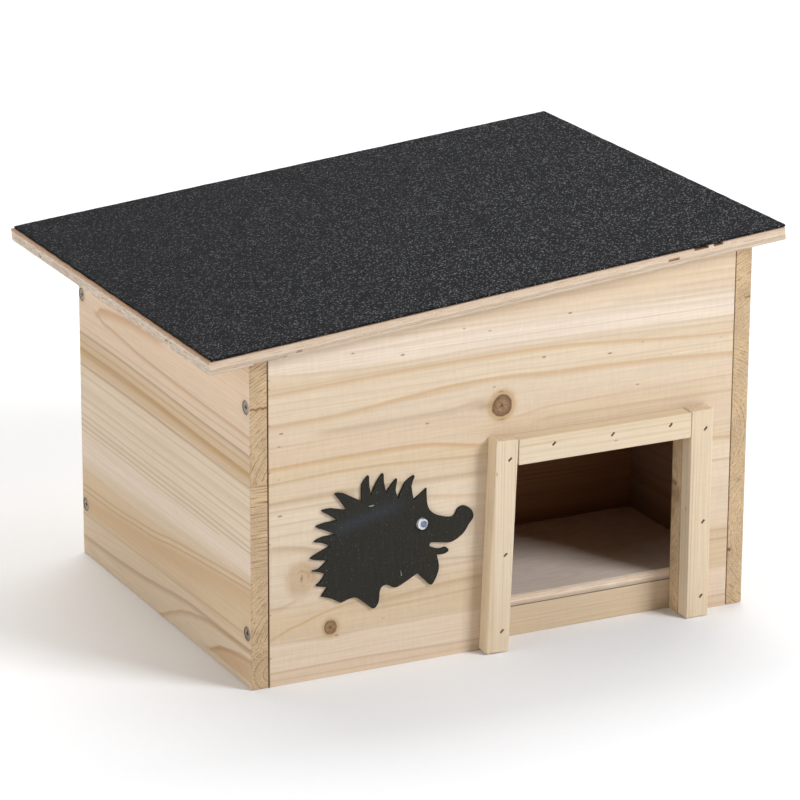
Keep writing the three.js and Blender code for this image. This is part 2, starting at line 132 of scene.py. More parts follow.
# %% Wrap a socket
class Wire:
    """An output socket of a finish that can be used in sums."""

    def __init__(self, finish, socket):
        self.finish = finish
        self.socket = socket

    def is_vector(self):
        return self.socket.type in ("VECTOR", "RGBA")

    def sum(self, operation, *terms):
        """Adds a Math node, or a Vector Math node where a term is a vector or a colour."""
        many = any(isinstance(term, (tuple, Vector)) or (isinstance(term, Wire) and term.is_vector())
                   for term in terms)
        kind = "VectorMath" if many else "Math"
        return self.finish.node(kind, {"operation": operation}, dict(enumerate(terms)))

    def product(self, first, second):
        """A vector times a number is a Scale, and all else is a Multiply."""
        for whole, part in ((first, second), (second, first)):
            is_number = not isinstance(part, (tuple, Vector, Wire)) or (
                isinstance(part, Wire) and not part.is_vector())
            if isinstance(whole, Wire) and whole.is_vector() and is_number:
                return self.finish.node("VectorMath", {"operation": "SCALE"},
                                        {"Vector": whole, "Scale": part})
        return self.sum("MULTIPLY", first, second)

    def __add__(self, other):
        return self.sum("ADD", self, other)

    __radd__ = __add__

    def __sub__(self, other):
        return self.sum("SUBTRACT", self, other)

    def __rsub__(self, other):
        return self.sum("SUBTRACT", other, self)

    def __mul__(self, other):
        return self.product(self, other)

    __rmul__ = __mul__

    def __truediv__(self, other):
        return self.sum("DIVIDE", self, other)

    def __rtruediv__(self, other):
        return self.sum("DIVIDE", other, self)

    def __abs__(self):
        return self.sum("ABSOLUTE", self)

    def __mod__(self, other):
        return self.sum("FLOORED_MODULO", self, other)

    def root(self):
        return self.sum("SQRT", self)

    def floor(self):
        return self.sum("FLOOR", self)

    def sign(self):
        return self.sum("SIGN", self)

    def most(self, other):
        return self.sum("MAXIMUM", self, other)

    def diagonal(self, other):
        """The diagonal of a rectangle with these two sides."""
        return (self * self + other * other).root()

    def angle(self, other):
        return self.sum("ARCTAN2", self, other)

    def hump(self, width):
        """1 where this is 0, falling softly to 0 about two widths away."""
        return self.sum("EXPONENT", self * self * (-1 / width ** 2))

    def other(self, name):
        """Another output of the same node."""
        return Wire(self.finish, self.socket.node.outputs[name])

    def parts(self):
        """The X, Y and Z of a vector."""
        first = self.finish.node("SeparateXYZ", {}, {"Vector": self})
        return first, first.other("Y"), first.other("Z")


print("Sums in a shader can be written as sums in Python")

# %% [markdown]
# Colours are written as they look on a screen, which is how a photo shows them. A shader reckons
# with light instead, so each colour is turned into the share of light that it stands for.

# %% Turn a colour into light
def linear(shade):
    """A colour written as on screen, such as "e2c79c", as the light that it stands for."""
    values = [int(shade[at:at + 2], 16) / 255 for at in (0, 2, 4)]
    return tuple(((v + 0.055) / 1.055) ** 2.4 if v > 0.04 else v / 12.92 for v in values)


print(f"A grey halfway up the screen's scale stands for {linear('808080')[0]:.2f} of the light")

# %% [markdown]
# Every node comes from one method that takes a node's type, its settings and what its sockets
# hold. The settings go first, because some of them change which sockets a node has. A material
# also knows the place of the point that is being shaded, in millimetres, because grain, grit and
# plies are all easier to think of in millimetres.
#
# A colour ramp serves here as a curve that is drawn through points. Its heights are kept in the
# alpha of its stops, because a ramp's alpha comes out as a number and its colour doesn't.

# %% Start a material
class Material:
    """A material while its nodes are drawn."""

    def __init__(self, name, origin=CORNER, **constants):
        self.material = bpy.data.materials.new(name)
        self.material.use_nodes = True
        self.tree = self.material.node_tree
        self.tree.nodes.clear()
        self.shader = self.tree.nodes.new("ShaderNodeBsdfPrincipled")
        end = self.tree.nodes.new("ShaderNodeOutputMaterial")
        self.tree.links.new(self.shader.outputs["BSDF"], end.inputs["Surface"])
        for socket, value in constants.items():
            self.shader.inputs[socket.replace("_", " ")].default_value = value
        seen = self.node("TexCoord", {}, {})
        self.place = (seen.other("Object") - Vector(origin)) * (1 / MM)
        self.facing = seen.other("Normal")

    def node(self, kind, settings, sockets):
        """Adds a node: its settings first, then the values or wires of its sockets."""
        made = self.tree.nodes.new("ShaderNode" + kind)
        for name, value in settings.items():
            if name == "stops":
                self.draw_curve(made.color_ramp, value)
            else:
                setattr(made, name, value)
        for key, value in sockets.items():
            if isinstance(key, int):
                socket = made.inputs[key]
            else:
                socket = next(s for s in made.inputs if s.enabled and s.name == key)
            if isinstance(value, Wire):
                self.tree.links.new(value.socket, socket)
            elif socket.type == "RGBA":
                socket.default_value = (*value[:3], 1)
            else:
                socket.default_value = value
        return Wire(self, next(s for s in made.outputs if s.enabled))

    def draw_curve(self, ramp, stops):
        """Sets the stops of a ramp, each a position and a height, both from 0 to 1."""
        while len(ramp.elements) < len(stops):
            ramp.elements.new(1)
        for stop, (position, height) in zip(ramp.elements, stops):
            stop.position = position
            stop.color = (1, 1, 1, height)
        ramp.interpolation = "CARDINAL"


print("Nodes can be added to a material")

# %% [markdown]
# The finishes of this house are drawn from a few patterns: specks and streaks of a given size in
# millimetres, soft steps, curves and blends. What varies over a surface feeds only the shader's
# colour, roughness, emission and relief, which can be baked. Constants are set on the shader.

# %% Draw patterns
PATH_REACH = 400


class Finish(Material):
    """A material with the patterns that the finishes of this house are drawn from."""

    def speckle(self, where, size, detail=0, seed=0):
        """Soft random values about 0.5. The size is one number, or one for each axis, in mm."""
        sizes = size if isinstance(size, tuple) else (size, size, size)
        scaled = where * tuple(1 / s for s in sizes) + (seed, seed * 1.7, seed * 0.6)
        return self.node("TexNoise", {}, {"Vector": scaled, "Scale": 1, "Detail": detail})

    def streak(self, value, size, detail=0, seed=0):
        """Soft random values about 0.5 along one number."""
        return self.node("TexNoise", {"noise_dimensions": "1D"},
                         {"W": value / size + seed, "Scale": 1, "Detail": detail})

    def chance(self, value):
        """One random value from 0 to 1 for each value."""
        return self.node("TexWhiteNoise", {"noise_dimensions": "1D"}, {"W": value})

    def chips(self, where):
        """The distance to the nearest of many points that are scattered about 1 apart. The other
        output, Color, is a random colour for each point."""
        return self.node("TexVoronoi", {}, {"Vector": where, "Scale": 1})

    def rise(self, value, low, high):
        """0 below low, 1 above high and a soft step between them."""
        return self.node("MapRange", {"interpolation_type": "SMOOTHSTEP"},
                         {"Value": value, "From Min": low, "From Max": high})

    def between(self, value, low, high, soft):
        """1 between low and high, with soft steps down at both."""
        start = self.rise(value - low, -soft, soft)
        return start * (1 - self.rise(value - high, -soft, soft))

    def path(self, value, points):
        """The height of a smooth line through points, each a value and a height up to PATH_REACH.
        One number instead of points is a level line."""
        if not isinstance(points, (tuple, list)):
            return points
        first, last = points[0][0], points[-1][0]
        stops = [((at - first) / (last - first), height / PATH_REACH) for at, height in points]
        share = (value - first) * (1 / (last - first))
        ramp = self.node("ValToRGB", {"stops": stops}, {"Fac": share})
        return ramp.other("Alpha") * PATH_REACH

    def blend(self, first, second, share):
        """The first colour where share is 0 and the second where it is 1."""
        return self.node("Mix", {"data_type": "RGBA"},
                         {"Factor": share, "A": first, "B": second})

    def colour(self, wire):
        self.tree.links.new(wire.socket, self.shader.inputs["Base Color"])

    def emission(self, wire):
        self.tree.links.new(wire.socket, self.shader.inputs["Emission Color"])

    def roughness(self, wire):
        self.tree.links.new(wire.socket, self.shader.inputs["Roughness"])

    def relief(self, height, depth):
        """Raises the surface where height is 1 by depth mm."""
        bump = self.node("Bump", {}, {"Strength": 1, "Distance": depth * MM, "Height": height})
        self.tree.links.new(bump.socket, self.shader.inputs["Normal"])


print(f"A path can reach {PATH_REACH} mm high")

# %% [markdown]
# ## Softwood
# A board is a slice of a tree, so its pattern isn't painted on a face: growth rings run through
# the whole board. Where a face cuts them lengthways they show as long lines and, near the heart,
# as pointed arches. Where an end cuts them they show as arcs. The rings are therefore worked out
# in space, as the distance from a heart line that lies somewhere beside the board, and each face
# cuts them as a saw would. A picture of grain on each face would never meet at the corners.
#
# The tones come first. Early wood is pale and late wood is brown. An end has darker tones of its
# own, because light sinks into its open pores.

# %% Mix the tones of softwood
PALE = linear("dfccb5")
WARM = linear("d8c09d")
LATE = linear("bf9567")
END_PALE = linear("c9ad88")
END_LATE = linear("6b4829")
# Stains, and painted shade on the lowest sheet of the floor's edge
STAIN_AND_SHADE = linear("5e3c20")
# Cracks and dark marks, and lines of painted shade in joints
CRACK_AND_SHADE = linear("7a4a24")
HOLE_RIM = linear("2a1a0e")
# Painted shade for the faces that look into the house
INSIDE_SHADE_TINT = (0.45, 0.31, 0.24)
print("A face reflects", [round(value, 2) for value in PALE], "of the light")

# %% [markdown]
# Every pattern of wood is drawn out with the grain, because its fibres are many times as long as
# they are wide. So a board knows which axis its grain follows, and turns a size with the grain and
# a size across it into a size for each axis. Places on it are measured `along` the grain, `thick`
# for how deep in the board, and `across` the grain. The table gives the axes of these three for
# each direction that grain can run in.

# %% Set out a board
GRAIN_AXES = {"X": (0, 1, 2), "Y": (1, 0, 2), "Z": (2, 1, 0)}


class Board(Finish):
    """Softwood while it is drawn. Its outer face lies at `outer`, measured through the board."""

    def __init__(self, name, grain, outer, seed):
        super().__init__(name, Specular_IOR_Level=0.3)
        self.axis, thick_axis, across_axis = GRAIN_AXES[grain]
        parts = self.place.parts()
        self.along = parts[self.axis]
        self.thick = parts[thick_axis]
        self.across = parts[across_axis]
        self.outer = outer
        self.seed = seed

    def sizes(self, along, cross):
        """A size with the grain and a size across it, as a size for each axis."""
        three = [cross] * 3
        three[self.axis] = along
        return tuple(three)


for grain, axes in GRAIN_AXES.items():
    along, thick, across = ("XYZ"[axis] for axis in axes)
    print(f"Grain along {along}: the board is thick along {thick} and wide along {across}")

# %% [markdown]
# Wide boards like these are glued up from strips of different trees. A strip is written as how
# high it reaches, and where its heart line passes: through the thickness, across the width, and
# how far it strays through the thickness for each millimetre along. Every strip has its own
# patterns too, so the place that they are drawn in jumps from strip to strip.

# %% Glue up the strips
GLUE_LINE = 0.15
STRIP_JUMP = 137


def glue_up(board, strips):
    """Gives a board its heart lines, and the place in which its patterns are drawn."""
    _, *heart = strips[0]
    jump = 0
    for (top, *this), (_, *following) in zip(strips, strips[1:]):
        above = board.rise(board.across, top - GLUE_LINE, top + GLUE_LINE)
        steps = [after - before for before, after in zip(this, following)]
        heart = [value + above * step for value, step in zip(heart, steps)]
        jump = jump + above * STRIP_JUMP
    through, board.heart, lean = heart
    board.out = board.thick - through - board.along * lean
    board.outer_out = board.outer - through - board.along * lean
    board.wood = board.place
    if len(strips) > 1:
        board.wood = board.wood + board.node("CombineXYZ", {}, {"X": jump, "Y": jump, "Z": jump})


print("Strips can be glued up")

# %% [markdown]
# Rings aren't true circles. They wander, and they swerve round a knot, because the branch was
# there first. Each year turns softly from early wood to late wood and stops short at the next
# spring, and some years are bolder than others.
#
# What one tree shows on a face isn't all chance, so broad tones and single bold rings are drawn
# over the outer face and follow the rings from there into the board. For that each point needs
# its `trace`: the height at which its ring comes out at the outer face.

# %% Grow the rings
SLOW_BEND = (260, 70)
QUICK_BEND = (55, 16)


def grow_rings(board, knots, spacing, wander):
    """Works out how far a point lies from the heart, its trace and its year."""
    pushed = board.across
    for along, across, size, reach, _ in knots:
        off_across = board.across - across
        near = (board.along - along).hump(size * reach * 1.8) * off_across.hump(size * reach)
        pushed = pushed - off_across * near * 0.75
    slow = board.speckle(board.wood, board.sizes(*SLOW_BEND), 1, board.seed) - 0.5
    quick = board.speckle(board.wood, board.sizes(*QUICK_BEND), 1, board.seed + 5) - 0.5
    up = pushed + slow * wander * 3 + quick * wander * 0.6 - board.heart
    board.turn = up.angle(board.out)
    board.radius = board.out.diagonal(up)
    outer_up = (up * up + board.out * board.out - board.outer_out * board.outer_out).most(0).root()
    board.trace = board.heart + up.sign() * outer_up

    board.spacing = spacing
    uneven = board.streak(board.radius, spacing * 3, 1, board.seed + 3) - 0.5
    year = board.radius / spacing + uneven * 2
    index = year.floor()
    season = year - index
    board.ring = board.rise(season, 0.35, 0.9) * (1 - board.rise(season, 0.9, 1.0))
    chance = board.chance(index + board.seed * 10)
    board.bold = chance * chance * 0.85 + 0.15


print("Rings can be grown")

# %% [markdown]
# A planed face shows fibres, streaks that run further, and clouds. Faint bars cross the grain
# where the fibres dip. Short dark dashes are resin ducts that come to the surface. A bold ring is
# soft on its early side and sharp on its late side, and fades out where it stops on the face.

# %% Colour a planed face
FIBRE, STREAK, CLOUD, SHOWN = (24, 0.7), (90, 1.9), (110, 34), (170, 24)
BAR, DUCT = (2.2, 11), (30, 12)
FADE = 12


def bold_ring(board, points, width):
    """One bold ring along a path of places, each along and across the board."""
    past = board.trace - board.path(board.along, points)
    line = board.rise(past, width * -4, width * 0.4) * (1 - board.rise(past, 0, width * 1.5))
    start, stop = points[0][0], points[-1][0]
    if start > 0:
        line = line * board.rise(board.along, start - FADE, start + FADE)
    if stop < DEPTH:
        line = line * (1 - board.rise(board.along, stop - FADE, stop + FADE))
    return line


def face_colour(board, tones, rings, shimmer, ducts, zones, lines):
    """The colour of a face that runs with the grain."""
    pale, warm, late = tones
    wood, seed = board.wood, board.seed
    fibre = board.speckle(wood, board.sizes(*FIBRE), 2, seed + 1)
    streaks = board.speckle(wood, board.sizes(*STREAK), 2, seed + 12)
    cloud = board.speckle(wood, board.sizes(*CLOUD), 2, seed + 2)
    bars = board.speckle(wood, board.sizes(*BAR), 1, seed + 6)
    shown = board.rise(board.speckle(wood, board.sizes(*SHOWN), 1, seed + 9), 0.3, 0.65)
    broad = board.rise(board.streak(board.radius, board.spacing * 8, 1, seed), 0.3, 0.7)
    board.fibre = fibre
    board.line = board.ring * board.bold * (0.25 + shown * 0.75)

    colour = board.blend(pale, warm, broad * 0.45 + cloud * 0.3)
    for low, high, soft, shade, share in zones:
        low, high = board.path(board.along, low), board.path(board.along, high)
        zone = board.between(board.trace, low, high, soft)
        colour = board.blend(colour, linear(shade), zone * share * (0.8 + fibre * 0.4))
    colour = board.blend(colour, late, board.line * rings)
    broken = 0.15 + fibre * 0.8 + streaks * 0.9
    for points, width, shade, share in lines:
        ring = bold_ring(board, points, width)
        colour = board.blend(colour, linear(shade), ring * broken * share)
    colour = colour * (0.82 + fibre * 0.16 + streaks * 0.2) * (1 - shimmer / 2 + bars * shimmer)

    duct = board.chips(wood * tuple(1 / size for size in board.sizes(*DUCT)))
    some = board.rise(duct.other("Color").parts()[0], 0.3, 0.4)
    dash = (1 - board.rise(duct, 0.035, 0.09)) * some
    return board.blend(colour, CRACK_AND_SHADE, dash * ducts)


print("Faces can be coloured")

# %% [markdown]
# A saw tears fibres out of an end, so an end is rougher and darker than a face. Its rings break up
# into strokes that lie along them. The strokes are stretched in a space of their own, with the
# distance from the heart one way and the angle round the heart the other, a radian for 60 mm.

# %% Colour a sawn end
ROUND_HEART = 60
STROKE = (0.9, 5, 1)
PORE, PATCH = 0.9, 17
CRACK_WAVE = 3.5


def end_colour(board, pale, tones, strength, cracks_and_shade_lines):
    """The colour of a face that the saw cut across the grain."""
    sawn = board.node("CombineXYZ", {}, {"X": board.radius, "Y": board.turn * ROUND_HEART, "Z": 0})
    strokes = board.speckle(sawn, STROKE, 2, board.seed + 7)
    pores = board.speckle(board.place, PORE, 2, board.seed + 4)
    patch = board.speckle(board.place, PATCH, 1, board.seed + 8)
    light, dark = tones
    torn_ring = board.ring * (0.25 + board.bold * 0.75) * board.rise(strokes, 0.35, 0.6)
    colour = board.blend(light, dark, torn_ring * strength)
    strong = 0.25 + board.rise(patch, 0.35, 0.7) * 0.75
    colour = board.blend(colour, dark, board.rise(strokes, 0.55, 0.74) * strong * strength)
    colour = board.blend(colour, pale, (1 - board.rise(strokes, 0.25, 0.42)) * 0.3)
    colour = colour * (0.33 + pores * 0.86 + patch * 0.52)
    # Cracks, and lines of painted shade along joints
    for low, high, height, width, share in cracks_and_shade_lines:
        wave = (board.streak(board.thick, CRACK_WAVE, 2, board.seed + height) - 0.5) * 2.2
        crack_and_shade_line = (board.across - height - wave).hump(width)
        crack_and_shade_line = crack_and_shade_line * board.between(board.thick, low, high, 0.6)
        colour = board.blend(colour, CRACK_AND_SHADE, crack_and_shade_line * share)
    board.end_relief = pores * 1.2 - strokes * 1.4
    return colour


print("Ends can be coloured")

# %% [markdown]
# A knot is a branch that was sawn through. It has rings of its own, checks that run out from its
# heart like spokes, a dark bark ring and a halo of brown wood round it. A branch that only comes
# near the face leaves a swirl with a small slit. Both are one function, because the swirl is a
# knot without its dark middle.

# %% Draw a knot
KNOT_HALO = linear("bd9766")
KNOT_CLOUD = linear("a98458")
KNOT_PALE = linear("a0805f")
KNOT_DARK = linear("55361f")


def knot(board, colour, place, size, dark, seed):
    """Draws a knot over a colour. One that is hardly dark is only a swirl with a slit."""
    along, across = place
    off_along = (board.along - along) / size
    off_across = (board.across - across) / (size * 1.05)
    away = off_along.diagonal(off_across)
    away = away + (board.speckle(board.place, size * 0.8, 2, seed) - 0.5) * 0.35

    # The halo, and rings that swirl round the knot
    tone = board.streak(away, 0.24, 1, seed + 13)
    patchy = board.speckle(board.place, size * 0.9, 2, seed + 19)
    swirl = 0.3 + board.rise(tone, 0.3, 0.9) * board.rise(patchy, 0.35, 0.65) * 0.7
    swirl = swirl * (1 - board.rise(away, 0.9, 2.0))
    halo = (away - 1.05).hump(0.34)
    colour = board.blend(colour, KNOT_HALO, swirl * (0.75 - dark * 0.3) + halo * dark * 0.6)
    cloud = away.hump(1.1) * (1 - dark) * (0.3 + patchy * 0.6)
    colour = board.blend(colour, KNOT_CLOUD, cloud)

    # The dark middle: its rings, its checks, its bark and its heart
    checks = board.streak(off_across.angle(off_along), 0.13, 1, seed + 15)
    checks = board.rise(checks, 0.55, 0.75) * (1 - board.rise(away, 0.35, 0.85))
    mottled = board.rise(board.speckle(board.place, size * 0.25, 2, seed + 17), 0.4, 0.7)
    middle = board.rise(tone, 0.35, 0.8) * 0.25 + checks * 0.45 + mottled * 0.35
    middle = board.blend(KNOT_PALE, KNOT_DARK, middle)
    middle = board.blend(middle, KNOT_DARK, (away - 0.86).hump(0.16) * max(0, dark * 2.5 - 1.9))
    middle = board.blend(middle, KNOT_DARK, 0.85 - board.rise(away, 0.03, 0.26) * 0.85)
    inside = (1 - board.rise(away, 0.9, 1.06)) * min(1, max(0, dark * 2.5 - 1))
    colour = board.blend(colour, middle, inside)
    slit = (off_along - off_across * 0.12).hump(0.1) * off_across.hump(0.26) * (1 - dark)
    return board.blend(colour, CRACK_AND_SHADE, slit)


print("Knots can be drawn")

# %% [markdown]
# A board comes together from these steps. The faces that look into the house get painted shade: they
# are tinted darker than the rest. The photograph's entrance is dark and brown, and without the
# painted shade the pale wood inside would pass so much light around that the entrance glowed.

# %% Finish softwood
GLUE_WIDTH, GLUE_SHARE = 0.3, 0.15
RIM_WIDTH = 0.55


def add_flaws(board, colour, strips, knots, marks, rims):
    """Adds knots, stains, dark lines of dirt and painted shade in joints, dark rims round screws and
    the joints between strips.
    """
    for along, across, size, _, dark in knots:
        colour = knot(board, colour, (along, across), size, dark, board.seed + along)
    for along, across, length, width, share in marks:
        mark = (board.along - along).hump(length) * (board.across - across).hump(width)
        colour = board.blend(colour, CRACK_AND_SHADE, mark * share)
    for along, across, radius, share in rims:
        away = (board.along - along).diagonal(board.across - across)
        rim = (away - radius).hump(RIM_WIDTH)
        colour = board.blend(colour, HOLE_RIM, rim * share)
    for top, *_ in strips[:-1]:
        colour = board.blend(colour, STAIN_AND_SHADE, (board.across - top).hump(GLUE_WIDTH) * GLUE_SHARE)
    return colour


def softwood(name, grain, outer, strips, seed, spacing=2.6, rings=0.5, wander=2.0,
             tones=(PALE, WARM, LATE), end_tones=(END_PALE, END_LATE), end_lines=0.8,
             shimmer=0.05, ducts=0.5, zones=(), lines=(), knots=(), marks=(), rims=(), cracks_and_shade_lines=(),
             inside=None):
    """The finish of a board, in mm from the corner of the house.

    grain   the axis that the grain follows
    outer   where the outer face lies, measured through the board
    strips  how high each one reaches, and its heart line: through, across and how far it strays
    rings   how strongly the rings show; they lie `spacing` mm apart and wander by `wander` mm
    zones   a lower and an upper edge, each a height or a path, how soft, a tone and its share
    lines   the path of a bold ring, its width, its tone and its share
    knots   along, across, size, how many sizes round it the rings swerve, and how dark
    marks   along, across, length, width and share of a stain, or of dirt and painted shade in a joint
    rims    along, across, radius and share of the dark rim of a hole
    cracks_and_shade_lines  in an end: from and to through the board, height, width and share; some
    are lines of painted shade along a joint inside  the axis and the direction of the face that
    looks into the house, which gets painted shade
    """
    board = Board(name, grain, outer, seed)
    glue_up(board, strips)
    grow_rings(board, knots, spacing, wander)
    colour = face_colour(board, tones, rings, shimmer, ducts, zones, lines)
    sides = board.facing.parts()
    is_end = board.rise(abs(sides[board.axis]), 0.5, 0.85)
    end = end_colour(board, tones[0], end_tones, end_lines, cracks_and_shade_lines)
    colour = add_flaws(board, board.blend(colour, end, is_end), strips, knots, marks, rims)
    # Painted shade on the faces that look into the house
    if inside:
        axis, way = inside
        painted_inside_shade = board.rise(sides[axis] * way, 0.5, 0.8)
        colour = board.blend(colour, colour * INSIDE_SHADE_TINT, painted_inside_shade)
    board.colour(colour)
    board.roughness(0.55 + board.fibre * 0.16 + board.line * 0.08)
    board.relief(board.line * 0.4 + board.fibre * 0.6 + is_end * board.end_relief, 0.12)
    return board.material


print("Softwood is ready")

# %% [markdown]
# ## Boards
# Every piece that is made here enters the scene through one function. It says which body the
# piece rides on, which pieces of the frame it stands for and what it is made of. With that in one
# place, no piece can be left behind when the lid opens.

# %% Put a piece into the scene
def show(name, mesh, finish, body, stands_for=(), matrix=None):
    """Puts a mesh into the scene as a piece that rides on a body."""
    data = bpy.data.meshes.new(name)
    mesh.to_mesh(data)
    mesh.free()
    data.materials.append(finish)
    piece = bpy.data.objects.new(name, data)
    bpy.context.scene.collection.objects.link(piece)
    if matrix is not None:
        piece.matrix_world = matrix
    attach(piece, body)
    for frame_name in stands_for:
        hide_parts(frame_name)
    print(f"{name}: {len(data.vertices)} points")


print("Pieces can be put into the scene")

# %% [markdown]
# The frame's boards have the right size, but their edges are as sharp as a razor, and light finds
# no edge to catch. Sawn and planed boards have edges broken by handling. A Bevel modifier would
# also round the rims of the screw holes, so each board is copied, only its long edges are
# rounded, and the copy stands for the frame's piece.

# %% Round the edges of a copy
LONG_EDGE = 9 * MM
SQUARE_EDGE = math.radians(60)
FLAT = math.radians(0.5)
SAME_POINT = 0.001 * MM


def dress_board(name, finish, edge):
    """A copy of a frame piece whose long, square edges are rounded to edge mm."""
    mesh = bmesh.new()
    mesh.from_mesh(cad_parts[name].data)
    bmesh.ops.remove_doubles(mesh, verts=mesh.verts, dist=SAME_POINT)
    bmesh.ops.dissolve_limit(mesh, angle_limit=FLAT, verts=mesh.verts, edges=mesh.edges)
    sharp = [e for e in mesh.edges if e.is_manifold and e.calc_face_angle() > SQUARE_EDGE
             and e.calc_length() > LONG_EDGE]
    bmesh.ops.bevel(mesh, geom=sharp, offset=edge * MM, segments=3, profile=0.5,
                    affect="EDGES", clamp_overlap=False)
    bmesh.ops.triangulate(mesh, faces=[f for f in mesh.faces if len(f.verts) > 4])
    print(f"{name}: {len(sharp)} edges rounded to {edge} mm")
    show(name + "_board", mesh, finish, "house", [name])


print(f"Edges over {LONG_EDGE / MM:.0f} mm long will be rounded")

# %% [markdown]
# ## The left wall
# The low side shows broad pale and golden zones, fine lines, and rings that run together in a
# point. They are drawn one by one after the photograph, in millimetres along the wall and up it,
# because chance would never put them where they are. Each path starts a little before the board
# and stops a little past it, unless its ring stops on the face.

# %% Draw the left wall's rings
OVER = 10
START = -OVER
REAR = DEPTH + OVER
FINE, GOLD, BROWN = "9a7450", "c4955c", "a98660"
AMBER, SAND, DUN, RUSSET, TAN = "bb8650", "b39468", "a98c66", "ac7d4c", "b8906a"
LEFT_ZONES = [
    ([(START, 190), (REAR, 195)], 300, 4, "e3caaf", 0.8),
    ([(START, 166), (200, 168), (REAR, 168.5)], [(START, 188), (REAR, 193)], 4, "d4b58f", 0.7),
    ([(START, 93), (160, 88), (REAR, 84)], [(START, 166), (REAR, 168)], 4, "e7d3ba", 0.85),
    ([(START, 95), (REAR, 86)], [(START, 109), (REAR, 107)], 4, "ebd8c8", 0.5),
    ([(START, 38), (REAR, 40)], [(START, 87), (160, 79), (REAR, 77)], 3, "d9bb94", 0.6),
    ([(START, 6), (84, 6)],
     [(START, 25.5), (43, 19), (63, 14), (80, 6), (92, -6)], 1, "cba277", 0.6),
]
LEFT_LINES = [
    ([(170, 236), (243, 233), (283, 229), (297, 226), (304, 221.5)], 2.2, AMBER, 0.6),
    ([(START, 206), (143, 209), (220, 212), (268, 216), (290, 217.5), (304, 221.5)],
     1.1, AMBER, 0.5),
    ([(START, 191), (143, 193.5), (243, 195.5), (REAR, 196)], 0.9, FINE, 0.55),
    ([(START, 199), (REAR, 202)], 0.5, FINE, 0.25),
    ([(START, 185), (REAR, 189)], 0.6, FINE, 0.3),
    ([(START, 177), (143, 179), (240, 180.5), (REAR, 182)], 1.9, "b48a50", 0.65),
    ([(START, 166), (60, 166), (200, 168), (REAR, 168.5)], 0.7, FINE, 0.45),
    ([(START, 158), (REAR, 160)], 0.6, SAND, 0.35),
    ([(START, 148), (REAR, 149)], 2, "c9b190", 0.35),
    ([(START, 138), (REAR, 140)], 0.8, SAND, 0.35),
    ([(START, 132), (REAR, 133)], 0.5, DUN, 0.3),
    ([(START, 123), (REAR, 125)], 0.5, DUN, 0.35),
    ([(START, 118), (REAR, 120)], 0.6, DUN, 0.45),
    ([(START, 113.5), (REAR, 115.5)], 0.6, DUN, 0.45),
    ([(60, 110), (REAR, 111)], 0.5, DUN, 0.35),
    ([(START, 78), (100, 68), (180, 60), (283, 52), (REAR, 48)], 5, "c0935a", 0.35),
    ([(START, 88), (160, 74), (243, 66), (REAR, 62)], 0.7, FINE, 0.35),
    ([(START, 83), (160, 69), (243, 61), (REAR, 57)], 0.6, FINE, 0.4),
    ([(START, 44), (REAR, 36)], 0.8, SAND, 0.35),
    ([(START, 33.5), (123, 31), (163, 27), (203, 22.5), (263, 18.5), (REAR, 16)],
     1.4, "9b7a54", 0.45),
    ([(START, 33), (83, 29.5), (103, 26), (123, 22), (143, 16), (163, 8), (184, -3)],
     1.4, RUSSET, 0.45),
    ([(START, 25.5), (23, 23), (43, 19), (63, 14), (84, 6)], 1.3, RUSSET, 0.5),
]
print(f"The left wall has {len(LEFT_ZONES)} zones and {len(LEFT_LINES)} bold rings")

# %% [markdown]
# The wood is brown round each screw, where the countersink crushed the fibres. Where a screw sits
# is read from the frame, so that stain and screw can't part.

# %% Mix the left wall's softwood
RIM_RADIUS, RIM_SHARE = 5.3, 0.7
STAIN_LENGTH, STAIN_HEIGHT, STAIN_SHARE = 7, 6.5, 0.3


def screw_rims(start):
    """The dark rims round the screws whose names start like this, along and up a side wall."""
    rims = []
    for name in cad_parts:
        if name.startswith(start):
            low, high = node_box(name)
            rims.append(((low.y + high.y) / 2, (low.z + high.z) / 2, RIM_RADIUS, RIM_SHARE))
    return rims


def screw_stains(rims):
    """The brown stains round the same screws."""
    return [(along, up, STAIN_LENGTH, STAIN_HEIGHT, STAIN_SHARE) for along, up, _, _ in rims]


left_rims = screw_rims("left_wall_screw")
left_wood = softwood(
    "left_wall_softwood", "Y", outer=0, seed=3,
    strips=[(39, 17, 12, 0.05), (94, 60, 15, 0), (168, 10, -150, 0), (300, 60, 150, 0)],
    rings=0.3, wander=1.2, end_lines=0.95, ducts=0.12, inside=(0, 1), zones=LEFT_ZONES,
    lines=LEFT_LINES, marks=screw_stains(left_rims), rims=left_rims,
    # The second crack is a dark line of dirt and painted shade along the joint with the front panel,
    # low down
    cracks_and_shade_lines=[(0, WALL + 1, 229, 1.0, 0.85), (WALL - 0.8, WALL + 2, 25, 24, 0.7)])
print(f"{len(left_rims)} screws in the left wall")

# %% [markdown]
# ## The right wall
# The photograph shows its front end, with two cracks, and a little of its inner face through the
# doorway. Its outer face is out of sight, so it has quieter wood of the same kind.

# %% Mix the right wall's softwood
right_rims = screw_rims("right_wall_screw") + screw_rims("inner_wall_screw")
right_wood = softwood(
    "right_wall_softwood", "Y", outer=WIDTH, seed=8,
    strips=[(110, WIDTH + 40, 60, 0.02), (230, WIDTH - 40, 150, 0), (320, WIDTH + 30, 200, 0)],
    end_lines=0.6, inside=(0, -1), rims=right_rims, marks=screw_stains(right_rims),
    zones=[(140, [(START, 180), (REAR, 170)], 4, "d3b48a", 0.5)],
    lines=[([(START, 250), (REAR, 244)], 0.8, GOLD, 0.6),
           ([(START, 96), (REAR, 104)], 1.2, GOLD, 0.5)],
    cracks_and_shade_lines=[(WIDTH - 14.8, WIDTH - 11.6, 48.3, 1.5, 1.0), (WIDTH - 6, WIDTH + 1, 262, 0.8, 0.8)])
print(f"{len(right_rims)} screws in the right wall")

# %% [markdown]
# ## The front panel
# The front is the face that everybody looks at, so its zones and rings follow the photograph most
# closely: a pale band under the lid, golden rings that swing over the doorway, and quiet wood
# between them. Some rings stop where the door frame or the hedgehog hides them.

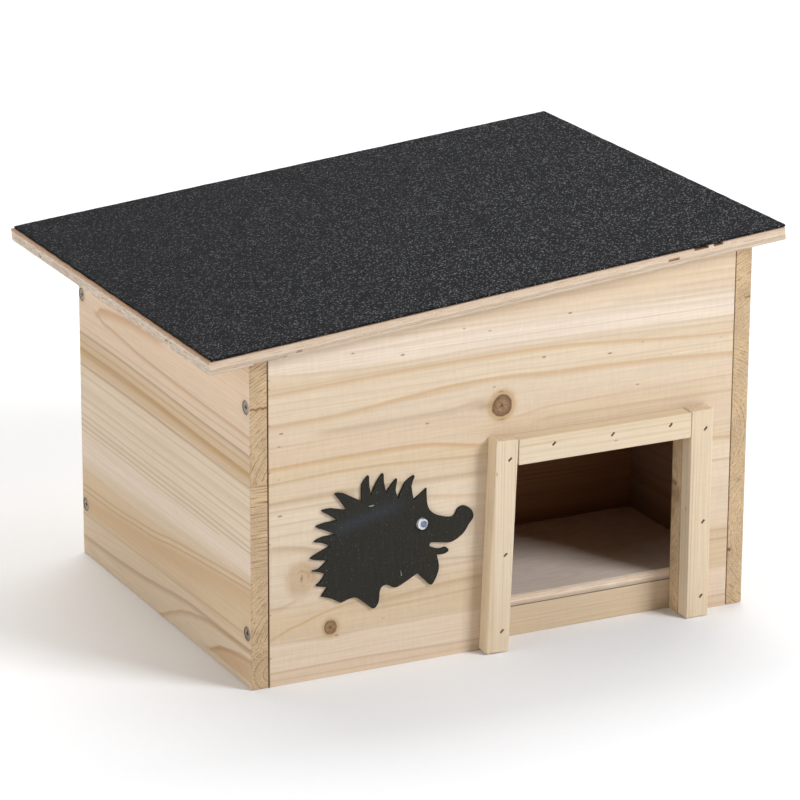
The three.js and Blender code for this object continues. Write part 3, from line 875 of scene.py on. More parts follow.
# %% Draw the front panel's zones
RIGHT = WIDTH + OVER
FRONT_ZONES = [
    # The first zone is partly the wood's tan and partly painted shadow under the lid's front edge
    ([(START, 266), (200, 268), (RIGHT, 265)], 330, 3, "dcc5a8", 0.5),
    ([(START, 254), (60, 252), (150, 250), (RIGHT, 248)],
     [(START, 272), (60, 271), (150, 272), (RIGHT, 267)], 7, "ecdccb", 0.7),
    ([(START, 214), (180, 224), (RIGHT, 217)],
     [(START, 236), (200, 242), (RIGHT, 234)], 3, "e3cfb3", 0.5),
    ([(START, 166), (200, 161)],
     [(START, 180), (155, 180), (200, 173), (RIGHT, 150)], 2, "d9bd93", 0.45),
    ([(225, 178), (RIGHT, 170)], [(225, 200), (RIGHT, 206)], 6, "dbc0a2", 0.35),
    ([(START, 110), (RIGHT, 112)], [(START, 147), (RIGHT, 142)], 4, "e6d3b9", 0.5),
    (36, [(START, 60), (200, 66)], 5, "d0b48d", 0.45),
    (-5, 35, 0.8, "e6d0b9", 0.65),
    (-5, 12, 4, "d8bd9a", 0.4),
]
print(f"The front panel has {len(FRONT_ZONES)} zones")

# %% [markdown]
# Over the zones come the bold rings. They are golden where a year left much late wood, and brown
# and fine elsewhere. Each has its own width in millimetres and its own strength, since even rings
# would look printed.

# %% Draw the front panel's rings
FRONT_LINES = [
    ([(START, 238), (60, 240), (135, 243), (255, 244.5), (295, 242.5), (355, 237.5), (RIGHT, 233)],
     1.1, GOLD, 0.45),
    ([(START, 241.5), (85, 244), (200, 247), (300, 247), (RIGHT, 243)], 0.8, BROWN, 0.2),
    ([(START, 213), (75, 215), (115, 219), (155, 223), (180, 224.3), (215, 222.5), (295, 222.5),
      (375, 219.5), (RIGHT, 216)], 1.5, GOLD, 0.48),
    ([(60, 203), (175, 205), (193, 206), (206, 204)], 1.8, BROWN, 0.35),
    ([(START, 179), (85, 180.5), (155, 179.5), (200, 173)], 1.2, GOLD, 0.55),
    ([(START, 166), (100, 169), (200, 164)], 0.8, BROWN, 0.35),
    ([(START, 150), (75, 152.5), (200, 150)], 1.4, BROWN, 0.35),
    ([(START, 255), (95, 249), (195, 251.5), (275, 251), (RIGHT, 248)], 0.8, BROWN, 0.2),
    ([(80, 263), (200, 266.5), (300, 266), (RIGHT, 262)], 1.2, BROWN, 0.18),
    ([(320, 273.5), (RIGHT, 273)], 1.0, BROWN, 0.17),
    ([(370, 279), (RIGHT, 279)], 0.9, BROWN, 0.2),
    ([(120, 272), (RIGHT, 268)], 0.8, BROWN, 0.2),
    ([(240, 285), (RIGHT, 287)], 1.1, BROWN, 0.16),
    ([(START, 231), (RIGHT, 227)], 0.6, BROWN, 0.18),
    ([(START, 196), (200, 199)], 0.6, BROWN, 0.18),
    ([(230, 196), (RIGHT, 199)], 0.7, BROWN, 0.2),
    ([(250, 187), (RIGHT, 186)], 0.9, BROWN, 0.25),
    ([(START, 144), (90, 145)], 0.8, BROWN, 0.3),
    ([(START, 132), (60, 133)], 0.7, BROWN, 0.25),
    ([(START, 123), (55, 122)], 0.8, BROWN, 0.25),
    ([(145, 138), (170, 135), (200, 132)], 1.2, GOLD, 0.35),
    ([(160, 83.5), (200, 80)], 0.8, BROWN, 0.35),
    ([(150, 77), (200, 77)], 0.8, BROWN, 0.3),
    ([(12, 38), (30, 46), (50, 52.5), (80, 60), (120, 61)], 0.9, GOLD, 0.5),
    ([(110, 57), (150, 61), (200, 64)], 1.5, BROWN, 0.35),
    ([(100, 51), (200, 54)], 0.7, BROWN, 0.3),
    ([(12, 112), (32, 108.5), (48, 104), (62, 100)], 2.4, BROWN, 0.45),
    ([(12, 68), (28, 71), (38, 76)], 1.4, BROWN, 0.35),
    ([(START, 11), (100, 12), (200, 10), (RIGHT, 11)], 0.6, TAN, 0.4),
    ([(START, 5), (RIGHT, 4)], 0.4, TAN, 0.3),
    ([(398, 148), (RIGHT, 145)], 1.3, GOLD, 0.5),
    ([(398, 128), (RIGHT, 127)], 0.8, BROWN, 0.35),
    ([(398, 68), (RIGHT, 66)], 1, BROWN, 0.4),
    ([(398, 60), (RIGHT, 59)], 0.8, BROWN, 0.35),
]
print(f"The front panel has {len(FRONT_LINES)} bold rings")

# %% [markdown]
# Three branches mark this panel: a brown knot over the corner of the doorway, a small one low down,
# and a swirl where a branch only came near the face. The jambs of the doorway are end grain, browner
# than the face, with a line of painted shade up their front arris where the door posts meet them. A
# dark line of dirt and painted shade runs up the joint beside the left wall, with small nicks.

# %% Mix the front panel's softwood
# A dark line of dirt and painted shade in the joint beside the left wall
JOINT_DIRT_AND_SHADE = (WALL + 0.2, 150, 0.55, 900, 0.75)
NICK_HEIGHTS = (24, 60, 118, 176, 214, 243, 250)
NICKS = [(WALL + 0.8, height, 1.3, 0.6, 0.6) for height in NICK_HEIGHTS]
front_wood = softwood(
    "front_panel_softwood", "X", outer=0, seed=14,
    strips=[(35, 60, -40, 0), (320, 75, 110, 0)], rings=0.25, wander=1.0, shimmer=0.1, ducts=0.65,
    end_tones=(linear("d6b993"), linear("86623e")), end_lines=0.6, inside=(1, 1),
    zones=FRONT_ZONES, lines=FRONT_LINES,
    knots=[(216, 202, 9, 1.9, 1.0), (43, 86, 9.5, 2.4, 0.3), (67.5, 41.5, 5.5, 1.9, 0.9)],
    marks=[(215, 213.5, 2.4, 0.7, 0.6), (215.5, 190.5, 3, 0.6, 0.5), (201, 203.5, 9, 3, 0.3),
           (54, 92, 5, 7, 0.16), JOINT_DIRT_AND_SHADE] + NICKS,
    # The last crack is painted shade: a dark line up the jambs' front arris, where the door posts
    # meet them
    cracks_and_shade_lines=[(2, WALL + 2, 101, 8, 0.5), (7, WALL + 2, 110, 2.2, 0.7),
            (9, WALL + 2, 84, 5, 0.35), (-0.5, 0.6, 90, 200, 0.75)])
print(f"{len(NICKS)} nicks along the joint")

# %% [markdown]
# ## The back panel and the inner wall
# Neither is seen well. The back panel repeats the wood of the front with knots of its own. Of the
# inner wall only a dark strip shows through the doorway, and its darker tones are painted shade.

# %% Mix the softwood at the back and inside
INNER_FACE = 158
# Darker tones for the inner wall: painted shade
INNER_SHADED_TONES = (linear("9a673f"), linear("875634"), linear("5f361e"))
back_wood = softwood(
    "back_panel_softwood", "X", outer=DEPTH, seed=21,
    strips=[(160, 290, 60, 0.01), (320, 270, 240, 0)], inside=(1, -1),
    zones=[([(START, 60), (RIGHT, 70)], [(START, 100), (RIGHT, 96)], 5, "d3b48a", 0.5)],
    lines=[([(START, 110), (RIGHT, 118)], 1.2, GOLD, 0.6),
           ([(START, 240), (RIGHT, 236)], 1, GOLD, 0.5)],
    knots=[(120, 90, 8, 1.9, 1.0), (330, 215, 6, 1.9, 0.9)])
inner_wood = softwood(
    "inner_wall_softwood", "X", outer=INNER_FACE, seed=27, strips=[(320, 250, 140, 0)],
    tones=INNER_SHADED_TONES, knots=[(150, 80, 7, 1.9, 0.9)])
print(f"The inner wall stands {INNER_FACE} mm behind the front")

# %% [markdown]
# ## Battens
# The door frame is nailed up from planed battens of slower grown wood: its rings are closer
# together and straighter. The battens under the floor are duller.

# %% Mix the softwood of the battens
BATTEN = 14
POST_TONES = (linear("e3d0b4"), linear("dbc4a2"), linear("b48a60"))
POST_ENDS = (linear("dfcaac"), linear("b59269"))
post_wood = softwood(
    "door_post_softwood", "Z", outer=-BATTEN, seed=31, strips=[(500, 40, 180, 0)],
    spacing=1.8, rings=0.6, wander=0.5, tones=POST_TONES, end_tones=POST_ENDS, end_lines=0.5,
    marks=[(151, 205, 1.6, 0.5, 0.7)])
lintel_wood = softwood(
    "door_lintel_softwood", "X", outer=-BATTEN, seed=36, strips=[(320, 40, 130, 0)],
    spacing=2.4, wander=1.2, tones=POST_TONES, end_tones=POST_ENDS)
batten_wood = softwood(
    "floor_batten_softwood", "X", outer=0, seed=41, strips=[(300, 90, -60, 0)],
    rings=0.35, tones=(linear("dcc6a9"), linear("d0b795"), LATE))
print(f"The door frame stands out {BATTEN} mm")

# %% [markdown]
# With all the wood mixed, the boards are put in place of the frame's. The left wall and the door
# posts have the roundest edges. The panels between the walls keep theirs nearly sharp, because a
# round edge would open a gap at the joint.

# %% Saw the boards
BOARDS = [
    ("left_wall", left_wood, "softwood", 1.4),
    ("right_wall", right_wood, "softwood", 1.0),
    ("front_panel", front_wood, "softwood", 0.5),
    ("back_panel", back_wood, "softwood", 0.5),
    ("inner_wall", inner_wood, "softwood", 0.7),
    ("left_door_post", post_wood, "batten_wood", 1.2),
    ("right_door_post", post_wood, "batten_wood", 1.2),
    ("door_lintel", lintel_wood, "batten_wood", 0.8),
    ("front_floor_batten", batten_wood, "batten_wood", 0.8),
    ("rear_floor_batten", batten_wood, "batten_wood", 0.8),
]
for name, wood, slot, edge in BOARDS:
    dress_board(name, wood, edge)
print(f"{len(BOARDS)} boards")

# %% [markdown]
# ## Plywood
# Plywood is made of thin sheets glued with their grain crosswise. On an edge every second sheet
# shows its end grain, a little darker and rougher, and thin brown glue lines part them. Its faces
# are peeled from a turning log, so their figure is wide and wavy.
#
# The sheet that a point lies in is its height counted in sheets and rounded down. Whether that
# sheet shows its end depends on which side of the board it is seen from.

# %% Set out a sheet of plywood
class Plywood(Finish):
    """Plywood while it is drawn. Its `level` is the height over its bottom, in plies, and `front`
    is 1 on its front and rear edges."""

    def __init__(self, name, origin, bottom, thickness, plies):
        super().__init__(name, origin, Specular_IOR_Level=0.3)
        self.plies = plies
        self.level = (self.place.parts()[2] - bottom) * (plies / thickness)
        self.ply = self.level.floor()
        across_ply = self.ply % 2
        right, back, up = self.facing.parts()
        self.low_side = self.rise(right * -1, 0.5, 0.8)
        self.front = self.rise(abs(back), 0.5, 0.8)
        self.flat = self.rise(abs(up), 0.6, 0.9)
        self.top = self.rise(up, 0.6, 0.9)
        self.shows_end = self.front * across_ply + (1 - self.front) * (1 - across_ply)
        self.long_grain = self.speckle(self.place, (16, 16, 0.45), 2, 3)
        self.pricks = self.speckle(self.place, (0.6, 0.6, 0.9), 2, 4)


print("Plies can be counted")

# %% [markdown]
# The sheets of an edge aren't equally bright: they end a little unevenly and shade each other, so
# `light` says how bright each level is. The edge at the low eave is weathered. It is greyer, with
# white flecks that are partly torn fibres and partly painted highlight, and dark slits that are
# painted shade in gaps between the sheets. Tar from the felt has stained the top sheet.

# %% Colour the edges of plywood
# Glue lines, and painted shade in slits of the low eave
GLUE_AND_SLIT_SHADE = linear("8a6444")
TAR = linear("a05c38")
LIFTED_FIBRE_AND_HIGHLIGHT = linear("eae2d8")


def ply_edges(wood, light, ends_share, bottom_shade):
    """The colour of the edges: long grain and ends in turn, glue lines, and painted shade on the
    lowest sheet.
    """
    edge = wood.blend(linear("cdb69d"), linear("dccbb8"), wood.rise(wood.long_grain, 0.35, 0.68))
    ends = wood.blend(linear("b99b7f"), linear("d6bea4"), wood.rise(wood.pricks, 0.25, 0.65))
    edge = wood.blend(edge, ends, wood.shows_end * ends_share)
    edge = edge * (0.92 + wood.chance(wood.ply + 3) * 0.16)
    from_middle = abs((wood.level - wood.ply - 0.5) * 2)
    seen = wood.rise(wood.speckle(wood.place, (9, 9, 3), 1, 5), 0.42, 0.55)
    edge = wood.blend(edge, GLUE_AND_SLIT_SHADE, wood.rise(from_middle, 0.86, 0.98) * seen * 0.55)
    edge = edge * wood.path(wood.level, light)
    # Painted shade darkens the lowest sheet, where the board sits on a batten
    return wood.blend(edge, STAIN_AND_SHADE, (1 - wood.rise(wood.level, 0.1, 0.6)) * bottom_shade)


def weather(wood, edge, tar):
    """Weathers the edge at the low eave, adds white flecks that are partly lifted fibres and partly
    painted highlight and dark gaps of painted shade, and stains the top sheet with tar.
    """
    edge = wood.blend(edge, linear("cbbba8"), wood.low_side * 0.5)
    # White flecks: partly torn fibres, partly painted highlight
    torn_fibre_and_highlight = wood.rise(wood.speckle(wood.place, (3, 8, 0.9), 2, 12), 0.52, 0.6)
    edge = wood.blend(edge, LIFTED_FIBRE_AND_HIGHLIGHT, torn_fibre_and_highlight * wood.low_side * 0.6)
    # Dark slits: painted shade in gaps between the sheets
    slit_shade = wood.rise(wood.speckle(wood.place, (3, 7, 0.45), 1, 14), 0.64, 0.7)
    edge = wood.blend(edge, GLUE_AND_SLIT_SHADE, slit_shade * wood.low_side * 0.6)
    under_felt = wood.rise(wood.level, wood.plies - 1.2, wood.plies - 0.3) * (1 - wood.front * 0.75)
    return wood.blend(edge, TAR, under_felt * wood.rise(wood.pricks, 0.3, 0.55) * tar)


print("Edges of plywood can be coloured")

# %% [markdown]
# The faces get a streak that waves across the board, because a sheet peeled from a turning log
# cuts the same ring again and again. Open pores run with the grain. Under the felt the top face is
# stained with tar. One function then joins edges and faces.

# %% Finish plywood
TARRED_TOP = linear("9a6340")


def plywood(name, bottom, thickness, plies, face_tones, light, origin=CORNER, tar=0, bottom_shade=0,
            ends_share=0.7):
    """The finish of a board of plywood that lies flat.

    light       how bright each level of its edges is, as a path
    tar         how strongly the felt has stained it
    dirt        how dirty the lowest sheet is
    bottom_shade  how much painted shade darkens the lowest sheet, where the board sits on a batten
    origin      where places are measured from, (0, 0, 0) for a piece that has its own matrix
    """
    wood = Plywood(name, origin, bottom, thickness, plies)
    edge = weather(wood, ply_edges(wood, light, ends_share, bottom_shade), tar)

    wave = wood.speckle(wood.place, (140, 22, 22), 1, 6)
    figure = wood.streak(wood.place.parts()[1] + wave * 90, 5, 2, 7)
    pores = wood.speckle(wood.place, (9, 0.6, 0.6), 2, 8)
    cloud = wood.speckle(wood.place, 30, 2, 9)
    face = wood.blend(*face_tones, wood.rise(figure, 0.35, 0.7) * 0.6 + cloud * 0.4)
    face = wood.blend(face * (0.9 + pores * 0.2), TARRED_TOP, wood.top * tar * 0.8)
    wood.colour(wood.blend(edge, face, wood.flat))
    wood.roughness(0.6 + pores * 0.15)
    grain = wood.long_grain * (1 - wood.shows_end) + wood.pricks * wood.shows_end
    wood.relief(grain + wood.flat * pores, 0.12)
    return wood.material


print("Plywood is ready")

# %% [markdown]
# ## The floor
# The floor is a board of pale plywood that lies on two battens. The lowest sheet of its edge is
# darkened with painted shade, where the board sits on the front batten. Only its top and its front
# edge show, and both are flat and square, so the frame's own piece stays and only gets the finish.

# %% Lay the floor
FLOOR_LIGHT = ((0, 0.6), (1, 0.92), (2.1, 1.27), (3.2, 1.1), (4, 1.03), (5, 0.84))
FLOOR_TONES = (linear("ecdccf"), linear("dfccbb"))
PLIES = 5
floor_low, floor_high = node_box("floor_board")
floor_thickness = floor_high.z - floor_low.z
floor_ply = plywood("floor_plywood", floor_low.z, floor_thickness, PLIES, FLOOR_TONES,
                    FLOOR_LIGHT, bottom_shade=0.8, ends_share=0.15)
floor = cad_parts["floor_board"].data
floor.materials.clear()
floor.materials.append(floor_ply)
print(f"The floor is {floor_thickness:.0f} mm thick")

# %% [markdown]
# ## The lid
# The lid is a board of plywood under felt. It slopes, so its parts are made lying flat in a frame
# that is tilted with it. What the frame's pieces measure in there gives the size of both.

# %% Measure the lid
TILT = Matrix.Translation(CORNER) @ Matrix.Rotation(-ROOF_SLOPE, 4, "Y")


def tilted_box(name):
    """The lowest and highest corner of a lid piece in the lid's own frame, in mm."""
    flat = [TILT.inverted() @ vertex.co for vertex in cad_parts[name].data.vertices]
    return tuple(Vector([pick(point[axis] for point in flat) for axis in range(3)]) / MM
                 for pick in (min, max))


board_low, board_high = tilted_box("roof_board")
felt_low, felt_high = tilted_box("roof_felt")
print("Roof board", [round(v, 1) for v in board_high - board_low], "mm")
print("Felt", [round(v, 1) for v in felt_high - felt_low], "mm")

# %% [markdown]
# The edges of the lid aren't smooth. The sheets of the plywood end a little unevenly, and here and
# there a core sheet has a gap that shows as a dark slit. Each sheet is cut by itself with a ragged
# outline, and the gaps are notches in it. A dark line painted on a flat edge would vanish as soon
# as the light came from another side.
#
# The outline walks round a rectangle and steps back from it by a soft random amount, which comes
# from noise and so is the same each time.

# %% Set back an outline
COARSE_WAVE, FINE_WAVE = 14, 2.3
PLY_STEP, PLY_SETBACK = 2.2, 0.5


def ragged_outline(low, high, step, depth, seed, notches=()):
    """Points round a rectangle, set back by up to depth mm. A notch is an edge, where it starts
    and stops along that edge, and how deep it goes."""
    corners = [(low.x, low.y), (high.x, low.y), (high.x, high.y), (low.x, high.y)]
    inward = [Vector(side) for side in ((0, 1), (-1, 0), (0, -1), (1, 0))]
    points = []
    for edge in range(4):
        start, stop = Vector(corners[edge]), Vector(corners[(edge + 1) % 4])
        length = (stop - start).length
        count = int(length / step)
        points.append(start + (inward[edge] + inward[edge - 1]) * depth * 0.6)
        for at in range(1, count):
            gone = length * at / count
            coarse = noise.noise(Vector((gone / COARSE_WAVE, edge * 7.3, seed)))
            fine = noise.noise(Vector((gone / FINE_WAVE, edge * 3.1, seed + 40)))
            back = depth * min(1, max(0, 0.45 + 0.7 * coarse + 0.5 * fine))
            for where, first, last, deep in notches:
                if where == edge and first < gone < last:
                    back = deep
            points.append(start + (stop - start) * (at / count) + inward[edge] * back)
    return points


def sheet(mesh, outline, bottom, top):
    """A closed slab with the given outline, in mm."""
    lower, upper = ([mesh.verts.new((p.x * MM, p.y * MM, z * MM)) for p in outline]
                    for z in (bottom, top))
    for at in range(len(outline)):
        after = (at + 1) % len(outline)
        mesh.faces.new((lower[at], lower[after], upper[after], upper[at]))
    mesh.faces.new(list(reversed(lower)))
    mesh.faces.new(upper)


points = ragged_outline(board_low, board_high, PLY_STEP, PLY_SETBACK, 0)
print(len(points), "points round one sheet")

# %% [markdown]
# The gaps are where the photograph shows them: small slits along the front edge and the low edge,
# and two deep ones in the top sheet near the high corner.

# %% Stack the plies of the roof board
FRONT_EDGE, LOW_EDGE = 0, 3
GAPS = [
    [(FRONT_EDGE, 36, 62, 2.5)],
    [(FRONT_EDGE, 72, 76, 1.5), (LOW_EDGE, 60, 66, 1.2)],
    [(FRONT_EDGE, 395, 404, 2.5), (LOW_EDGE, 322, 326, 1.5), (LOW_EDGE, 330, 333, 1.5)],
    [],
    [(FRONT_EDGE, 421, 431, 18), (FRONT_EDGE, 438, 445, 18)],
]
ROOF_LIGHT = ((0, 0.76), (0.7, 0.94), (2, 1.02), (4, 1.02), (5, 0.9))
ROOF_TONES = (linear("dcc2a0"), linear("cfb08a"))
roof_thickness = board_high.z - board_low.z
ply_thickness = roof_thickness / PLIES
mesh = bmesh.new()
for ply, gaps in enumerate(GAPS):
    bottom = board_low.z + ply * ply_thickness
    outline = ragged_outline(board_low, board_high, PLY_STEP, PLY_SETBACK, ply * 3.7, gaps)
    sheet(mesh, outline, bottom, bottom + ply_thickness)
roof_ply = plywood("roof_plywood", board_low.z, roof_thickness, PLIES, ROOF_TONES, ROOF_LIGHT,
                   origin=(0, 0, 0), tar=0.7)
show("roof_plies", mesh, roof_ply, "lid", ["roof_board"], TILT)
print(f"{PLIES} sheets of {ply_thickness:.1f} mm")

# %% [markdown]
# ## Mineral felt
# Roofing felt is a bitumen sheet with crushed slate rolled into its top. From a few metres off it
# looks black with a fine, dry sparkle: every grain is a small flat chip that faces its own way, so
# some catch the light. Here that sparkle is painted into the colour as pale glints on some chips.
# The chips are a Voronoi pattern, which gives each cell a grey and a distance from its middle. The
# painted glints are stronger toward the high side, nearer the key light.

# %% Mix the felt
CHIP = 1.3
felt = Finish("mineral_felt", (0, 0, 0), Specular_IOR_Level=0.25)
warp = felt.speckle(felt.place, CHIP, 1, 2) - 0.5
chip = felt.chips(felt.place * (1 / CHIP) + warp * 0.5)
grey = chip.other("Color").parts()[0]
along, deep = felt.place.parts()[:2]
toward_light = felt.rise(along - deep * 0.9, -300, 350) * 0.55 + 0.6
# Painted glints on pale chips, stronger nearer the key light
painted_glint = felt.rise(grey, 0.6, 1.0) * (1 - felt.rise(chip, 0.3, 0.55)) * toward_light
dust = felt.speckle(felt.place, 26, 3, 5)
slate = felt.blend(linear("0f0f11"), linear("1e1e20"), dust) * (0.5 + grey * 1.2)
slate = felt.blend(slate, linear("a8a8ab"), painted_glint * 0.5)
felt.colour(slate * (0.75 + felt.speckle(felt.place, 2.4, 1, 9) * 0.5))
felt.roughness(0.95 - painted_glint * 0.3)
felt.relief(grey * 0.7 - chip * 0.9, 0.5)
print(f"The chips are about {CHIP} mm wide")

# %% [markdown]
# The sheet is cut with a ragged outline too, finer than the plywood's. It ends a little under the
# top of the frame's felt, which leaves room for grains that really stand up.

# %% Roll out the felt
CARPET = 0.4
FELT_STEP, FELT_SETBACK = 1.3, 0.7
mesh = bmesh.new()
outline = ragged_outline(felt_low, felt_high, FELT_STEP, FELT_SETBACK, 91)
sheet(mesh, outline, felt_low.z, felt_high.z - CARPET)
show("felt_sheet", mesh, felt.material, "lid", ["roof_felt"], TILT)

# %% [markdown]
# Relief can't break up an outline, and the edges of the felt are seen against paler things. So
# loose grains are strewn over the sheet: small octahedra, each turned and tipped its own way. The
# first ones go along the front edge and the low edge, where they show most.

# %% Strew loose grains
EDGE_GRAINS, FIELD_GRAINS = 900, 2200
OCTAHEDRON = ((1, 0, 0), (0, 0.8, 0), (-0.9, 0, 0), (0, -0.7, 0), (0, 0, 0.6), (0, 0, -0.6))
mesh = bmesh.new()
chance = random.Random(7)
for at in range(EDGE_GRAINS + FIELD_GRAINS):
    x = chance.uniform(felt_low.x + 1, felt_high.x - 1)
    y = chance.uniform(felt_low.y + 1, felt_high.y - 1)
    if at < EDGE_GRAINS and at % 2:
        y = felt_low.y + chance.uniform(0.8, 2)
    elif at < EDGE_GRAINS:
        x = felt_low.x + chance.uniform(0.8, 2)
    size = chance.uniform(0.3, 0.62)
    turn = Matrix.Rotation(chance.uniform(0, math.pi), 4, "Z")
    tip = Matrix.Rotation(chance.uniform(-0.4, 0.4), 4, "X")
    grain = Matrix.Translation(Vector((x, y, felt_high.z - CARPET)) * MM) @ turn @ tip
    *ring, top, bottom = (mesh.verts.new(grain @ (Vector(p) * size * MM)) for p in OCTAHEDRON)
    for this, following in zip(ring, ring[1:] + ring[:1]):
        mesh.faces.new((this, following, top))
        mesh.faces.new((following, this, bottom))
show("felt_grains", mesh, felt.material, "lid", (), TILT)
print(f"{EDGE_GRAINS + FIELD_GRAINS} loose grains")

# %% [markdown]
# ## The black hedgehog
# The figure is sawn from a thin black sheet, a common sign on such houses. A fret saw turns in
# curves, so every spine bends to its tip. Its outline is drawn here as smooth runs that meet in
# sharp corners: each spine is one run up to its tip and one down to the notch after it. A spine
# is written as a point on its rising side, its tip, a point on its falling side and the notch.

# %% Draw the spines
FIRST_NOTCH = (64.7, 75.7)
SPINES = [
    ((59.8, 77.1), (54.1, 78.4), (58.4, 81.4), (62.6, 87.0)),
    ((56.6, 89.7), (50.7, 91.1), (56.9, 92.0), (64.6, 98.0)),
    ((55.8, 99.7), (49.0, 101.6), (55.8, 105.0), (66.8, 109.4)),
    ((59.3, 113.3), (52.1, 114.9), (60.4, 117.8), (71.5, 118.0)),
    ((62.4, 123.0), (53.4, 127.0), (61.6, 129.0), (72.8, 129.4)),
    ((65.0, 135.3), (58.5, 139.6), (67.9, 140.0), (81.2, 136.3)),
    ((75.6, 144.6), (70.2, 152.0), (78.1, 150.8), (93.6, 141.8)),
    ((93.7, 155.3), (99.7, 163.2), (100.1, 154.3), (101.6, 145.4)),
    ((106.3, 155.3), (112.1, 163.1), (112.7, 154.8), (114.8, 145.7)),
    ((119.0, 151.4), (124.3, 156.7), (122.7, 146.7), (125.0, 139.3)),
    ((130.9, 151.5), (139.7, 157.3), (136.5, 147.9), (138.6, 136.3)),
]
LAST_SPINE = ((143.8, 139.9), (149.6, 144.2))
print(f"{len(SPINES)} spines and one over the brow")

# %% [markdown]
# The head and the underside go round clockwise from the brow to the tail, in runs that share
# their first and last points.

# %% Draw the head and the underside
BROW = [LAST_SPINE[-1], (150.1, 133.1), (152.5, 126.0), (159.4, 120.4), (170.0, 117.0),
        (174.9, 118.4), (177.0, 122.9), (182.8, 124.6), (189.0, 120.6), (191.0, 114.4),
        (186.9, 108.7)]
SNOUT = [BROW[-1], (181.9, 101.7), (171.9, 96.3), (161.9, 97.5), (153.7, 98.6),
         (153.2, 95.3), (160.8, 92.1), (166.7, 92.5), (169.3, 89.6), (165.5, 87.4), (158.9, 87.7)]
PAW = [SNOUT[-1], (160.9, 75.6), (154.9, 63.3), (148.6, 68.1), (141.9, 74.8)]
BELLY = [PAW[-1], (132.8, 70.0), (122.9, 66.1), (114.7, 69.8), (109.7, 66.5),
         (108.3, 56.3), (103.7, 51.7), (96.7, 57.1), (87.4, 63.7), (75.6, 61.0)]
RUMP = [BELLY[-1], (67.2, 66.0), (58.9, 68.9)]
TAIL = [RUMP[-1], (62.3, 73.2), FIRST_NOTCH]
print(f"{sum(len(run) for run in (BROW, SNOUT, PAW, BELLY, RUMP, TAIL))} points drawn by hand")

# %% [markdown]
# A saw leaves no needle sharp tips in a thin sheet, so every spine is blunted: the tip is moved
# out a little and cut off by a small curve. All runs are then rounded through their points.

# %% Join the outline
TIP_OUT, BLUNT = 0.5, 0.34
LONG_RUN_STEPS, SHORT_RUN_STEPS = 4, 2


def smooth_run(points, steps):
    """A Catmull-Rom curve through the points, without its last point."""
    ends = [Vector(point) for point in points]
    ends = [ends[0]] + ends + [ends[-1]]
    run = []
    for a, b, c, d in zip(ends, ends[1:], ends[2:], ends[3:]):
        for at in range(steps):
            t = at / steps
            run.append(0.5 * (2 * b + (c - a) * t + (2 * a - 5 * b + 4 * c - d) * t ** 2
                              + (3 * b - 3 * c + d - a) * t ** 3))
    return run


def blunt(before, tip, after):
    """A small round instead of a sharp tip: where it starts, its top and where it stops."""
    before, tip, after = Vector(before), Vector(tip), Vector(after)
    tip = tip + (tip - (before + after) / 2).normalized() * TIP_OUT
    start, stop = tip.lerp(before, BLUNT), tip.lerp(after, BLUNT)
    return start, (start + tip * 2 + stop) / 4, stop


runs = []
notch = FIRST_NOTCH
for rising, tip, falling, following in SPINES:
    start, top, stop = blunt(rising, tip, falling)
    runs += [(notch, rising, start), (start, top, stop), (stop, falling, following)]
    notch = following
runs += [(notch, *LAST_SPINE), BROW, SNOUT, PAW, BELLY, RUMP, TAIL]
outline = []
for run in runs:
    outline += smooth_run(run, SHORT_RUN_STEPS if len(run) == 3 else LONG_RUN_STEPS)
print(f"{len(runs)} runs, {len(outline)} points round the hedgehog")

# %% [markdown]
# The outline becomes a sheet as thick as the frame's piece. Its front edge is broken by a tenth
# of a millimetre, enough for a thin line of light along it.

# %% Cut the sheet
BROKEN_EDGE = 0.1
sheet_front, sheet_back = (corner.y for corner in node_box("hedgehog_ornament"))
mesh = bmesh.new()
front_ring, back_ring = ([mesh.verts.new(CORNER + Vector((p.x, y, p.y)) * MM) for p in outline]
                         for y in (sheet_front, sheet_back))
for at in range(len(outline)):
    after = (at + 1) % len(outline)
    mesh.faces.new((front_ring[after], front_ring[at], back_ring[at], back_ring[after]))
front = mesh.faces.new(front_ring)
mesh.faces.new(list(reversed(back_ring)))
bmesh.ops.recalc_face_normals(mesh, faces=mesh.faces)
bmesh.ops.bevel(mesh, geom=list(front.edges), offset=BROKEN_EDGE * MM, segments=1, profile=0.5,
                affect="EDGES")
many_sided = [face for face in mesh.faces if len(face.verts) > 4]
bmesh.ops.triangulate(mesh, faces=many_sided, ngon_method="EAR_CLIP")
hedgehog = mesh
print(f"The sheet is {sheet_back - sheet_front:.1f} mm thick")

# %% [markdown]
# The sheet is dyed black and a little fibrous, with pale specks and lint on it. A broad band
# across its back looks paler and a little blue.

# %% Dye the sheet
black = Finish("black_sheet_finish", Specular_IOR_Level=0.2)
along, _, up = black.place.parts()
fibres = black.speckle(black.place, (0.7, 0.7, 1.8), 2, 3)
weave = black.speckle(black.place, (1.2, 1.2, 14), 1, 9)
specks = black.rise(black.speckle(black.place, 0.8, 0, 5), 0.72, 0.82)
lint = black.rise(black.speckle(black.place, (0.6, 0.6, 1.1), 0, 8), 0.8, 0.86)
band = (up - 123 - (along - 75) * 0.22).hump(6)
band = band * black.rise(along, 60, 80) * (1 - black.rise(along, 115, 140))
dye = black.blend(linear("191814"), linear("3d3b34"), fibres * 0.7 + weave * 0.3)
dye = black.blend(dye, linear("3a3e47"), band * 0.5)
dye = black.blend(dye, linear("7d7765"), specks * 0.35)
black.colour(black.blend(dye, linear("b9b5a8"), lint * 0.5))
black.roughness(0.78 + fibres * 0.3)
black.relief(fibres, 0.15)
show("hedgehog_sheet", hedgehog, black.material, "house", ["hedgehog_ornament"])

